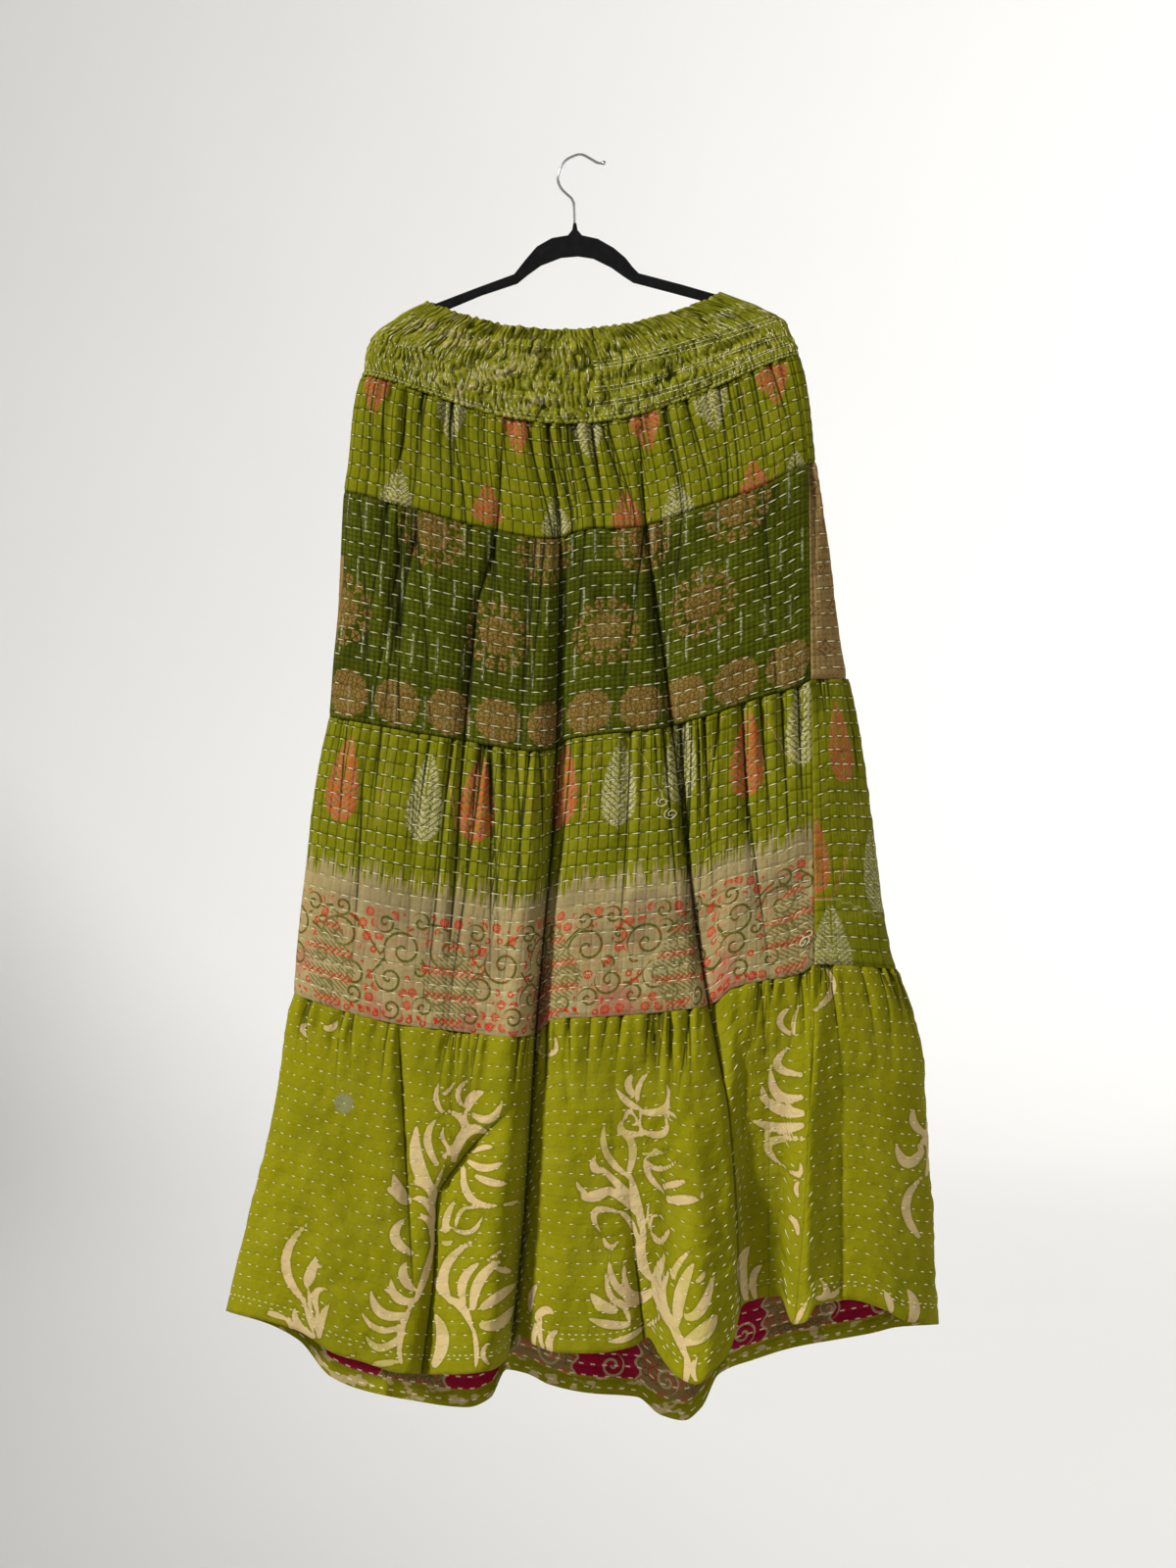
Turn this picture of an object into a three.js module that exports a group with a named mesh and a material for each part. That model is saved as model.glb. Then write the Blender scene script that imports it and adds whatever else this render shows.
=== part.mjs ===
// Maxi skirt: four gathered tiers of quilted cotton under a smocked waistband, hung on a slim hanger.
// Millimetres. +X is to the right from in front, +Y runs through the skirt to its back, +Z is up.
// The origin is the inner top of the hook's bend, where a peg or rail carries the hanger.
import * as THREE from 'three';

// Cloth and sewing
const CLOTH_WALL = 2.4;
const BAND_WALL = 1.5;
const HEM_EXTRA = 0.9;
const HEM_SHARE = 0.945;
const HEM_STEP = 0.008;
const SEAM_GAP = 0.3;

// The tables give each place as it looks on the hanger's own plane from an eye in front of it.
// Cloth that lies nearer or farther than that plane is scaled about the eye.
const EYE = { across: 8.3, height: -666.6, distance: 2200 };

// Outer edges of the hanging skirt
const OUTLINE = [
  { height: -145, left: -160, right: 149 },
  { height: -154, left: -164, right: 174 },
  { height: -162, left: -179, right: 193 },
  { height: -174, left: -197, right: 215 },
  { height: -190, left: -219, right: 224 },
  { height: -207, left: -226, right: 231 },
  { height: -226, left: -229, right: 237 },
  { height: -240, left: -234, right: 240 },
  { height: -270, left: -240, right: 244 },
  { height: -321, left: -245, right: 249 },
  { height: -360, left: -251, right: 256 },
  { height: -420, left: -254, right: 264 },
  { height: -484, left: -257, right: 271 },
  { height: -537, left: -262, right: 279 },
  { height: -590, left: -266, right: 291 },
  { height: -640, left: -276, right: 301 },
  { height: -690, left: -284, right: 307 },
  { height: -745, left: -290, right: 315 },
  { height: -795, left: -296, right: 321 },
  { height: -845, left: -301, right: 329 },
  { height: -888, left: -304, right: 345 },
  { height: -910, left: -310, right: 353 },
  { height: -970, left: -318, right: 364 },
  { height: -1050, left: -333, right: 370 },
  { height: -1103, left: -346, right: 373 },
  { height: -1150, left: -358, right: 375 },
  { height: -1190, left: -368, right: 377 },
  { height: -1240, left: -379, right: 380 },
];

// One row for each sewn level, from the band's top edge down to the hem
const LEVELS = [
  { level: 0, frontDepth: 9, backDepth: 9, endRadius: 8, valley: -40, sideSeam: 140 },
  { level: 1, frontDepth: 13, backDepth: 11, endRadius: 9, valley: -38, sideSeam: 224 },
  { level: 2, frontDepth: 26, backDepth: 16, endRadius: 10, valley: -21, sideSeam: 242 },
  { level: 3, frontDepth: 40, backDepth: 20, endRadius: 12, valley: -25, sideSeam: 245 },
  { level: 4, frontDepth: 56, backDepth: 26, endRadius: 14, valley: -47, sideSeam: 249 },
  { level: 4.5, frontDepth: 64, backDepth: 30, endRadius: 15, valley: -58, sideSeam: 241 },
  { level: 5, frontDepth: 72, backDepth: 34, endRadius: 16, valley: -74, sideSeam: 230 },
];

// Sewn lines that sag evenly between the two side edges
const EVEN_SEAMS = {
  front: [
    { left: -154, right: -145, sag: 34, power: 1 },
    { left: -233, right: -211, sag: 62, power: 1.5 },
  ],
  back: [
    { left: -154, right: -145, sag: 36, power: 1 },
    { left: -233, right: -211, sag: 64, power: 1.5 },
    { left: -356, right: -325, sag: 66, power: 1 },
    { left: -595, right: -555, sag: 58, power: 1 },
    { left: -889, right: -863, sag: 68, power: 1 },
  ],
};

// Sewn lines of the front, which step where a fold crosses them
const FIRST_SEAM = [
  { across: -251, height: -356 },
  { across: -191, height: -371 },
  { across: -114, height: -392 },
  { across: -28, height: -407 },
  { across: 13, height: -396 },
  { across: 56, height: -395 },
  { across: 119, height: -377 },
  { across: 198, height: -350 },
  { across: 239, height: -329 },
  { across: 253, height: -325 },
];
const SECOND_SEAM = [
  { across: -267, height: -595 },
  { across: -200, height: -608 },
  { across: -123, height: -621 },
  { across: -47, height: -632 },
  { across: -30, height: -630 },
  { across: -14, height: -620 },
  { across: 17, height: -615 },
  { across: 83, height: -608 },
  { across: 131, height: -596 },
  { across: 193, height: -575 },
  { across: 234, height: -563 },
  { across: 250, height: -555 },
  { across: 283, height: -555 },
];
const THIRD_SEAM = [
  { across: -304, height: -889 },
  { across: -260, height: -905 },
  { across: -190, height: -922 },
  { across: -132, height: -929 },
  { across: -69, height: -935 },
  { across: -50, height: -932 },
  { across: -26, height: -916 },
  { across: 17, height: -914 },
  { across: 118, height: -905 },
  { across: 144, height: -898 },
  { across: 160, height: -884 },
  { across: 234, height: -867 },
  { across: 250, height: -858 },
  { across: 334, height: -863 },
];
const FRONT_HEM = [
  { across: -379, height: -1226 },
  { across: -341, height: -1235 },
  { across: -304, height: -1246 },
  { across: -261, height: -1272 },
  { across: -236, height: -1279 },
  { across: -190, height: -1292 },
  { across: -135, height: -1293 },
  { across: -97, height: -1289 },
  { across: -82, height: -1279 },
  { across: -68, height: -1251 },
  { across: -52, height: -1261 },
  { across: -24, height: -1270 },
  { across: 8, height: -1271 },
  { across: 54, height: -1264 },
  { across: 71, height: -1254 },
  { across: 84, height: -1274 },
  { across: 104, height: -1297 },
  { across: 122, height: -1304 },
  { across: 139, height: -1289 },
  { across: 157, height: -1269 },
  { across: 175, height: -1218 },
  { across: 215, height: -1210 },
  { across: 228, height: -1240 },
  { across: 238, height: -1238 },
  { across: 250, height: -1220 },
  { across: 288, height: -1214 },
  { across: 323, height: -1224 },
  { across: 348, height: -1237 },
  { across: 380, height: -1240 },
];
const BACK_HEM = [
  { across: -379, height: -1226 },
  { across: -335, height: -1239 },
  { across: -301, height: -1257 },
  { across: -268, height: -1295 },
  { across: -236, height: -1309 },
  { across: -185, height: -1320 },
  { across: -122, height: -1328 },
  { across: -97, height: -1318 },
  { across: -80, height: -1288 },
  { across: -59, height: -1292 },
  { across: -34, height: -1304 },
  { across: 8, height: -1313 },
  { across: 59, height: -1317 },
  { across: 84, height: -1336 },
  { across: 109, height: -1342 },
  { across: 128, height: -1328 },
  { across: 146, height: -1293 },
  { across: 185, height: -1277 },
  { across: 228, height: -1264 },
  { across: 273, height: -1256 },
  { across: 311, height: -1249 },
  { across: 336, height: -1243 },
  { across: 380, height: -1240 },
];

// Folds run down the cloth. A depth above zero is a trough, below zero a ridge that stands proud.
const FRONT_FOLDS = {
  mainValley: [
    { height: -285, across: -38, halfWidth: 9, depth: 0 },
    { height: -401, across: -21, halfWidth: 12, depth: 9 },
    { height: -630, across: -25, halfWidth: 13, depth: 16 },
    { height: -934, across: -47, halfWidth: 15, depth: 24 },
    { height: -1136, across: -60, halfWidth: 17, depth: 31 },
    { height: -1290, across: -76, halfWidth: 18, depth: 36 },
  ],
  ridgeByValley: [
    { height: -330, across: -38, halfWidth: 14, depth: 0 },
    { height: -630, across: -47, halfWidth: 16, depth: -7 },
    { height: -934, across: -72, halfWidth: 20, depth: -11 },
    { height: -1290, across: -104, halfWidth: 26, depth: -16 },
  ],
  leftOfValley: [
    { height: -270, across: -82, halfWidth: 8, depth: 0 },
    { height: -330, across: -84, halfWidth: 9, depth: 5 },
    { height: -394, across: -88, halfWidth: 10, depth: 6 },
    { height: -477, across: -109, halfWidth: 11, depth: 8 },
    { height: -627, across: -124, halfWidth: 12, depth: 8 },
    { height: -793, across: -135, halfWidth: 13, depth: 6 },
    { height: -860, across: -141, halfWidth: 14, depth: 0 },
  ],
  farLeftUpper: [
    { height: -240, across: -183, halfWidth: 9, depth: 0 },
    { height: -300, across: -188, halfWidth: 10, depth: 5 },
    { height: -371, across: -206, halfWidth: 10, depth: 0 },
  ],
  farLeftMiddle: [
    { height: -372, across: -170, halfWidth: 10, depth: 0 },
    { height: -423, across: -179, halfWidth: 10, depth: 6 },
    { height: -472, across: -188, halfWidth: 11, depth: 6 },
    { height: -560, across: -194, halfWidth: 12, depth: 0 },
  ],
  farLeftLower: [
    { height: -620, across: -230, halfWidth: 12, depth: 0 },
    { height: -720, across: -233, halfWidth: 13, depth: 5 },
    { height: -890, across: -245, halfWidth: 14, depth: 0 },
  ],
  hemLeftStraight: [
    { height: -925, across: -193, halfWidth: 11, depth: 2 },
    { height: -1008, across: -188, halfWidth: 12, depth: 10 },
    { height: -1103, across: -183, halfWidth: 13, depth: 8 },
    { height: -1230, across: -176, halfWidth: 14, depth: 0 },
  ],
  hemLeftSlanting: [
    { height: -1000, across: -62, halfWidth: 11, depth: 0 },
    { height: -1062, across: -123, halfWidth: 12, depth: 9 },
    { height: -1110, across: -152, halfWidth: 13, depth: 10 },
    { height: -1170, across: -154, halfWidth: 14, depth: 14 },
    { height: -1300, across: -169, halfWidth: 16, depth: 20 },
  ],
  insetPleat: [
    { height: -287, across: 62, halfWidth: 7, depth: 2 },
    { height: -396, across: 70, halfWidth: 10, depth: 9 },
    { height: -546, across: 90, halfWidth: 13, depth: 14 },
    { height: -668, across: 105, halfWidth: 13, depth: 14 },
    { height: -869, across: 133, halfWidth: 14, depth: 18 },
    { height: -1015, across: 165, halfWidth: 16, depth: 21 },
    { height: -1125, across: 178, halfWidth: 20, depth: 24 },
    { height: -1217, across: 196, halfWidth: 26, depth: 30 },
    { height: -1290, across: 199, halfWidth: 28, depth: 32 },
  ],
  ridgeByPleat: [
    { height: -980, across: 98, halfWidth: 20, depth: 0 },
    { height: -1135, across: 112, halfWidth: 22, depth: -10 },
    { height: -1300, across: 121, halfWidth: 26, depth: -24 },
  ],
  hemCentreRight: [
    { height: -1080, across: 48, halfWidth: 12, depth: 0 },
    { height: -1180, across: 60, halfWidth: 13, depth: 7 },
    { height: -1290, across: 71, halfWidth: 14, depth: 14 },
  ],
  rightMiddle: [
    { height: -560, across: 170, halfWidth: 14, depth: 0 },
    { height: -680, across: 178, halfWidth: 15, depth: 6 },
    { height: -860, across: 200, halfWidth: 15, depth: 2 },
  ],
  sideRidge: [
    { height: -870, across: 252, halfWidth: 11, depth: 0 },
    { height: -940, across: 249, halfWidth: 11, depth: -7 },
    { height: -1110, across: 240, halfWidth: 10, depth: -10 },
    { height: -1245, across: 231, halfWidth: 10, depth: -12 },
  ],
  sideHollow: [
    { height: -880, across: 292, halfWidth: 30, depth: 0 },
    { height: -1100, across: 286, halfWidth: 34, depth: 11 },
    { height: -1250, across: 285, halfWidth: 36, depth: 15 },
  ],
};
const BACK_FOLDS = {
  leftTrough: [
    { height: -300, across: -118, halfWidth: 10, depth: 0 },
    { height: -630, across: -140, halfWidth: 14, depth: 6 },
    { height: -940, across: -166, halfWidth: 16, depth: 9 },
    { height: -1310, across: -206, halfWidth: 20, depth: 13 },
  ],
  centreTrough: [
    { height: -340, across: -12, halfWidth: 11, depth: 0 },
    { height: -560, across: -18, halfWidth: 13, depth: 5 },
    { height: -940, across: -26, halfWidth: 16, depth: 9 },
    { height: -1310, across: -84, halfWidth: 18, depth: 14 },
  ],
  centreRidge: [
    { height: -620, across: 34, halfWidth: 18, depth: 0 },
    { height: -1330, across: 20, halfWidth: 30, depth: -8 },
  ],
  rightTrough: [
    { height: -280, across: 92, halfWidth: 10, depth: 0 },
    { height: -620, across: 112, halfWidth: 14, depth: 7 },
    { height: -940, across: 128, halfWidth: 16, depth: 10 },
    { height: -1310, across: 156, halfWidth: 20, depth: 14 },
  ],
  farRightTrough: [
    { height: -620, across: 206, halfWidth: 14, depth: 0 },
    { height: -1290, across: 262, halfWidth: 24, depth: 10 },
  ],
};

// Gathers below each seam: their depth, how far down they fade, and how many grid columns apart
const GATHERS = [
  { tier: 1, depth: 3.2, fade: 42, every: 1 },
  { tier: 2, depth: 2.2, fade: 34, every: 3 },
  { tier: 3, depth: 4.4, fade: 48, every: 1 },
  { tier: 4, depth: 4.6, fade: 56, every: 1 },
];
const GATHER_RISE = 12;

// Grid of the panels
const FRONT_LEFT_COLUMNS = 22;
const FRONT_RIGHT_COLUMNS = 26;
const WRAP_COLUMNS = 7;
const BACK_COLUMNS = 36;
const END_CROWDING = 0.7;
const TIER_ROWS = {
  1: [0, 0.14, 0.36, 0.66, 1],
  2: [0, 0.1, 0.28, 0.5, 0.74, 1],
  3: [0, 0.07, 0.2, 0.38, 0.58, 0.79, 1],
  4: [0, 0.07, 0.2, 0.36, 0.54, 0.72, 0.86, HEM_SHARE - HEM_STEP, HEM_SHARE, 1],
};

// Smocked band: ribs round it, drawn in along the rows of elastic
const BAND_RIBS_A_SIDE = 40;
const BAND_OUTER_ROWS = 8;
const BAND_INNER_ROWS = 5;
const RIB_HEIGHT = 1.5;
const RIB_AT_ELASTIC = 0.45;
const BAND_CROWDING = 0.35;

// Hanger
const HANGER_THICK = 5.5;
const HANGER_BEVEL = 1.4;
const WIRE_RADIUS = 1.4;
const WIRE_TIP_RADIUS = 2.5;
const WIRE_SIDES = 10;

const MATERIALS = {
  velvet: new THREE.MeshStandardMaterial({ color: 0x0b0b0c, roughness: 0.95, metalness: 0 }),
  chrome: new THREE.MeshStandardMaterial({ color: 0xc8cacc, roughness: 0.15, metalness: 1 }),
  band: new THREE.MeshStandardMaterial({ color: 0x7d8f22, roughness: 0.85, metalness: 0 }),
  lime: new THREE.MeshStandardMaterial({ color: 0x82910f, roughness: 0.85, metalness: 0 }),
  darkGreen: new THREE.MeshStandardMaterial({ color: 0x465a0a, roughness: 0.85, metalness: 0 }),
  yellowGreen: new THREE.MeshStandardMaterial({ color: 0x8c9614, roughness: 0.85, metalness: 0 }),
};

const lerp = THREE.MathUtils.lerp;

// Straight-line reading of one column of a table against another that rises or falls all the way.
function readTable(table, key, at, column) {
  const falling = table[0][key] > table[table.length - 1][key];
  const before = (row) => (falling ? row[key] > at : row[key] < at);
  const next = table.findIndex((row) => !before(row));
  if (next === 0) return table[0][column];
  if (next < 0) return table[table.length - 1][column];
  const above = table[next - 1];
  const below = table[next];
  const share = (at - above[key]) / (below[key] - above[key]);
  return lerp(above[column], below[column], share);
}

// Height of a sewn line, a share of the way from the left edge to the right.
function seamHeight(level, side, share) {
  const drawn = side === 'front'
    ? [null, null, FIRST_SEAM, SECOND_SEAM, THIRD_SEAM, FRONT_HEM][level]
    : [null, null, null, null, null, BACK_HEM][level];
  if (!drawn) {
    const seam = EVEN_SEAMS[side][level];
    const bow = (4 * share * (1 - share)) ** seam.power;
    return lerp(seam.left, seam.right, share) - seam.sag * bow;
  }
  const first = drawn[0].across;
  const last = drawn[drawn.length - 1].across;
  return readTable(drawn, 'across', lerp(first, last, share), 'height');
}

// Width and place of the ring of cloth at a level between two sewn lines.
function ringAt(tier, down) {
  const leftHeight = lerp(seamHeight(tier, 'front', 0), seamHeight(tier + 1, 'front', 0), down);
  const rightHeight = lerp(seamHeight(tier, 'front', 1), seamHeight(tier + 1, 'front', 1), down);
  const left = readTable(OUTLINE, 'height', leftHeight, 'left');
  const right = readTable(OUTLINE, 'height', rightHeight, 'right');
  return { centre: (left + right) / 2, half: (right - left) / 2, level: tier + down };
}

// Sum of the folds at a place, as a height above the even curve of the ring.
function foldRelief(side, across, height) {
  const folds = side === 'front' ? FRONT_FOLDS : BACK_FOLDS;
  let relief = 0;
  for (const rows of Object.values(folds)) {
    if (height > rows[0].height) continue;
    const middle = readTable(rows, 'height', height, 'across');
    const width = readTable(rows, 'height', height, 'halfWidth');
    relief -= readTable(rows, 'height', height, 'depth') * Math.exp(-(((across - middle) / width) ** 2));
  }
  return relief;
}

// A gather's own share of the full depth, uneven from one to the next.
function gatherShare(tier, column) {
  return 0.62 + 0.38 * Math.sin(5.3 * column + 2.1 * tier + 1.7 * Math.sin(1.9 * column));
}

// Height of the gathers below a seam: alternate columns stand out and sink in, and fade downwards.
function gatherRelief(tier, column, drop) {
  const gather = GATHERS.find((row) => row.tier === tier);
  if (!gather) return 0;
  const phase = Math.cos((Math.PI * column) / gather.every);
  const rise = 0.5 + 0.5 * Math.min(1, drop / GATHER_RISE);
  const fade = Math.exp(-drop / gather.fade);
  return gather.depth * gatherShare(tier, Math.floor(column / gather.every)) * phase * rise * fade;
}

// Point on the cloth's outer face, and the level direction straight out of the ring there.
// The ring is a lens with rounded ends: depth times the root of one less the share across to a power.
function clothPoint({ side, tier, down, share, column = 0, relief = 0 }) {
  const ring = ringAt(tier, down);
  const facing = side === 'front' ? -1 : 1;
  const depth = readTable(LEVELS, 'level', ring.level, side === 'front' ? 'frontDepth' : 'backDepth');
  const endRadius = readTable(LEVELS, 'level', ring.level, 'endRadius');
  const power = Math.max(2, (2 * ring.half * endRadius) / depth ** 2);
  const rise = Math.sqrt(Math.max(0, 1 - Math.abs(share) ** power));
  const across = ring.centre + ring.half * share;
  const along = (1 + share) / 2;
  const top = seamHeight(tier, side, along);
  const height = lerp(top, seamHeight(tier + 1, side, along), down);
  const out = new THREE.Vector3(
    (power * Math.abs(share) ** (power - 1) * Math.sign(share)) / ring.half,
    (facing * 2 * rise) / depth,
    0,
  ).normalize();
  const folds = tier > 0 ? foldRelief(side, across, height) : 0;
  const gathers = gatherRelief(tier, column, top - height);
  const point = new THREE.Vector3(across, facing * depth * rise, height);
  point.addScaledVector(out, (folds + gathers) * rise + relief);
  return { point, out };
}

// Brings a point from the hanger's plane to its own depth, along the line to the eye.
function toDepth(point) {
  const scale = 1 + point.y / EYE.distance;
  return new THREE.Vector3(
    EYE.across + (point.x - EYE.across) * scale,
    point.y,
    EYE.height + (point.z - EYE.height) * scale,
  );
}

// Closed mesh from grids of points, its vertices shared.
function closedMesh(name, material, points, triangles) {
  const geometry = new THREE.BufferGeometry();
  const flat = points.flatMap((point) => [point.x, point.y, point.z]);
  geometry.setAttribute('position', new THREE.Float32BufferAttribute(flat, 3));
  geometry.setIndex(triangles);
  geometry.computeVertexNormals();
  const mesh = new THREE.Mesh(geometry, material);
  mesh.name = name;
  return mesh;
}

// Places across the front piece: from the left edge to the main valley, then on to the side seam.
function frontColumns(tier, down) {
  const ring = ringAt(tier, down);
  const toShare = (across) => (across - ring.centre) / ring.half;
  const valley = toShare(readTable(LEVELS, 'level', ring.level, 'valley'));
  const seam = toShare(readTable(LEVELS, 'level', ring.level, 'sideSeam'));
  const columns = [];
  for (let column = 0; column <= FRONT_LEFT_COLUMNS; column += 1) {
    const step = column / FRONT_LEFT_COLUMNS;
    const eased = lerp(step, 1 - Math.cos((Math.PI * step) / 2), END_CROWDING);
    columns.push({ side: 'front', share: lerp(-1, valley, eased) });
  }
  for (let column = 1; column <= FRONT_RIGHT_COLUMNS; column += 1) {
    columns.push({ side: 'front', share: lerp(valley, seam, column / FRONT_RIGHT_COLUMNS) });
  }
  return columns;
}

// Places round the back piece: from the side seam round the right edge, then across the back.
function backColumns(tier, down) {
  const ring = ringAt(tier, down);
  const seam = (readTable(LEVELS, 'level', ring.level, 'sideSeam') - ring.centre) / ring.half;
  const columns = [];
  for (let column = 0; column < WRAP_COLUMNS; column += 1) {
    const step = column / WRAP_COLUMNS;
    const eased = lerp(step, Math.sin((Math.PI * step) / 2), END_CROWDING);
    columns.push({ side: 'front', share: lerp(seam, 1, eased) });
  }
  for (let column = 0; column <= BACK_COLUMNS; column += 1) {
    const step = column / BACK_COLUMNS;
    columns.push({ side: 'back', share: lerp(1 - 2 * step, Math.cos(Math.PI * step), END_CROWDING) });
  }
  return columns;
}

// One sewn piece of a tier: an outer and an inner sheet of points with rims between them.
// Half of the seam gap is taken off each of its four edges.
function tierPanel(name, tier, placeColumns, material) {
  const rows = TIER_ROWS[tier];
  const outer = [];
  const inner = [];
  rows.forEach((down, row) => {
    const columns = placeColumns(tier, down);
    const wall = tier === 4 && down >= HEM_SHARE ? CLOTH_WALL + HEM_EXTRA : CLOTH_WALL;
    columns.forEach((place, column) => {
      const last = columns.length - 1;
      const edge = column === 0 || column === last;
      const step = edge ? { ...place, tier, down } : { ...place, tier, down, column };
      const gathered = edge ? { ...step, column: 0.5 * GATHERS[tier - 1].every } : step;
      const { point, out } = clothPoint(gathered);
      const sideways = new THREE.Vector3(-out.y, out.x, 0);
      if (column === 0) point.addScaledVector(sideways, SEAM_GAP / 2);
      if (column === last) point.addScaledVector(sideways, -SEAM_GAP / 2);
      if (row === 0) point.z -= SEAM_GAP / 2;
      if (row === rows.length - 1 && tier < 4) point.z += SEAM_GAP / 2;
      outer.push(toDepth(point));
      inner.push(toDepth(point.clone().addScaledVector(out, -wall)));
    });
  });
  const width = outer.length / rows.length;
  const lastRow = rows.length - 1;
  const offset = outer.length;
  const triangles = [];
  const quad = (a, b, c, d) => triangles.push(a, b, c, a, c, d);
  for (let row = 0; row < lastRow; row += 1) {
    for (let column = 0; column < width - 1; column += 1) {
      const a = row * width + column;
      quad(a, a + width, a + width + 1, a + 1);
      quad(offset + a, offset + a + 1, offset + a + width + 1, offset + a + width);
    }
    const start = row * width;
    const end = start + width - 1;
    quad(start, offset + start, offset + start + width, start + width);
    quad(end, end + width, offset + end + width, offset + end);
  }
  for (let column = 0; column < width - 1; column += 1) {
    const low = lastRow * width + column;
    quad(column, column + 1, offset + column + 1, offset + column);
    quad(low, offset + low, offset + low + 1, low + 1);
  }
  return closedMesh(name, material, [...outer, ...inner], triangles);
}

// Place round the band, as a side and a share across it, for a step from 0 to 1 round the ring.
function bandPlace(step) {
  const front = step < 0.5;
  const across = (front ? step : step - 0.5) * 2;
  const share = -lerp(1 - 2 * across, Math.cos(Math.PI * across), BAND_CROWDING);
  return { side: front ? 'front' : 'back', share: front ? share : -share };
}

// The smocked waistband: ribs raised on its outside, pinched at each row of elastic, plain inside.
function waistband() {
  const ribs = 2 * BAND_RIBS_A_SIDE;
  const outerColumns = 2 * ribs;
  const outer = [];
  const inner = [];
  for (let row = 0; row <= BAND_OUTER_ROWS; row += 1) {
    const down = row / BAND_OUTER_ROWS;
    const swell = row % 2 === 0 ? RIB_AT_ELASTIC : 1;
    for (let column = 0; column < outerColumns; column += 1) {
      const relief = column % 2 === 0 ? 0 : RIB_HEIGHT * swell;
      const place = bandPlace(column / outerColumns);
      const { point } = clothPoint({ ...place, tier: 0, down, relief });
      if (row === BAND_OUTER_ROWS) point.z += SEAM_GAP / 2;
      outer.push(toDepth(point));
    }
  }
  for (let row = 0; row <= BAND_INNER_ROWS; row += 1) {
    const down = row / BAND_INNER_ROWS;
    for (let column = 0; column < ribs; column += 1) {
      const place = bandPlace(column / ribs);
      const { point } = clothPoint({ ...place, tier: 0, down, relief: -BAND_WALL });
      if (row === BAND_INNER_ROWS) point.z += SEAM_GAP / 2;
      inner.push(toDepth(point));
    }
  }
  const offset = outer.length;
  const triangles = [];
  for (let row = 0; row < BAND_OUTER_ROWS; row += 1) {
    for (let column = 0; column < outerColumns; column += 1) {
      const a = row * outerColumns + column;
      const b = row * outerColumns + ((column + 1) % outerColumns);
      triangles.push(a, a + outerColumns, b + outerColumns, a, b + outerColumns, b);
    }
  }
  for (let row = 0; row < BAND_INNER_ROWS; row += 1) {
    for (let column = 0; column < ribs; column += 1) {
      const a = offset + row * ribs + column;
      const b = offset + row * ribs + ((column + 1) % ribs);
      triangles.push(a, b + ribs, a + ribs, a, b, b + ribs);
    }
  }
  for (let column = 0; column < ribs; column += 1) {
    const next = (column + 1) % ribs;
    for (const bottom of [false, true]) {
      const outerStart = bottom ? BAND_OUTER_ROWS * outerColumns : 0;
      const innerStart = offset + (bottom ? BAND_INNER_ROWS * ribs : 0);
      const a = outerStart + 2 * column;
      const b = a + 1;
      const c = outerStart + ((2 * column + 2) % outerColumns);
      const [d, e] = [innerStart + column, innerStart + next];
      const rim = [[a, b, d], [b, e, d], [b, c, e]];
      rim.forEach(([p, q, r]) => triangles.push(...(bottom ? [p, r, q] : [p, q, r])));
    }
  }
  return closedMesh('waistband', MATERIALS.band, [...outer, ...inner], triangles);
}

// The velvet hanger: a flat bar with a raised arch, a slim neck and arms that turn down at the tips.
function hangerBody() {
  const topEdge = [
    [-7.3, -71.8], [-8.6, -79], [-13, -84.6], [-30, -87.5], [-46, -96.5], [-58, -110.5], [-70, -125.8],
    [-111, -140.9], [-153, -157], [-166, -162.4], [-181, -167.6], [-195, -176.6], [-205, -185.2],
    [-209.5, -190.5],
  ];
  const underLeft = [
    [-208.5, -195.6], [-203, -196.4], [-195, -191.2], [-181, -181.6], [-160, -171.5], [-138, -162.2],
    [-105, -148.4], [-66.6, -135.6],
  ];
  const underArch = [
    [-56, -126.9], [-41.6, -116.5], [-20, -108.2], [-2, -106.7], [14, -109.2], [33, -118.6], [46, -127.9],
  ];
  const underRight = [
    [56.2, -134.6], [90, -143.4], [124.4, -152.6], [150, -160.2], [175, -169], [193, -177.2], [203, -183.6],
  ];
  const rightEdge = [
    [209.6, -184], [211.6, -179], [206, -173.4], [193.5, -166], [175, -157.4], [160, -152.4], [141.4, -146.6],
    [107, -136.7], [62, -124.8], [56, -118.6], [47.8, -108.2], [35.4, -97.8], [18.7, -88.3], [2, -84.6],
    [-2.8, -79], [-4.1, -71.8],
  ];
  const rim = [...topEdge, ...underLeft, ...underArch, ...underRight, ...rightEdge];
  const shape = new THREE.Shape(rim.map(([across, height]) => new THREE.Vector2(across, height)));
  const geometry = new THREE.ExtrudeGeometry(shape, {
    depth: HANGER_THICK - 2 * HANGER_BEVEL,
    bevelEnabled: true,
    bevelThickness: HANGER_BEVEL,
    bevelSize: HANGER_BEVEL,
    bevelOffset: -HANGER_BEVEL,
    bevelSegments: 2,
  });
  geometry.translate(0, 0, HANGER_BEVEL - HANGER_THICK / 2);
  geometry.rotateX(Math.PI / 2);
  const mesh = new THREE.Mesh(geometry, MATERIALS.velvet);
  mesh.name = 'hanger_body';
  return mesh;
}

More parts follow.
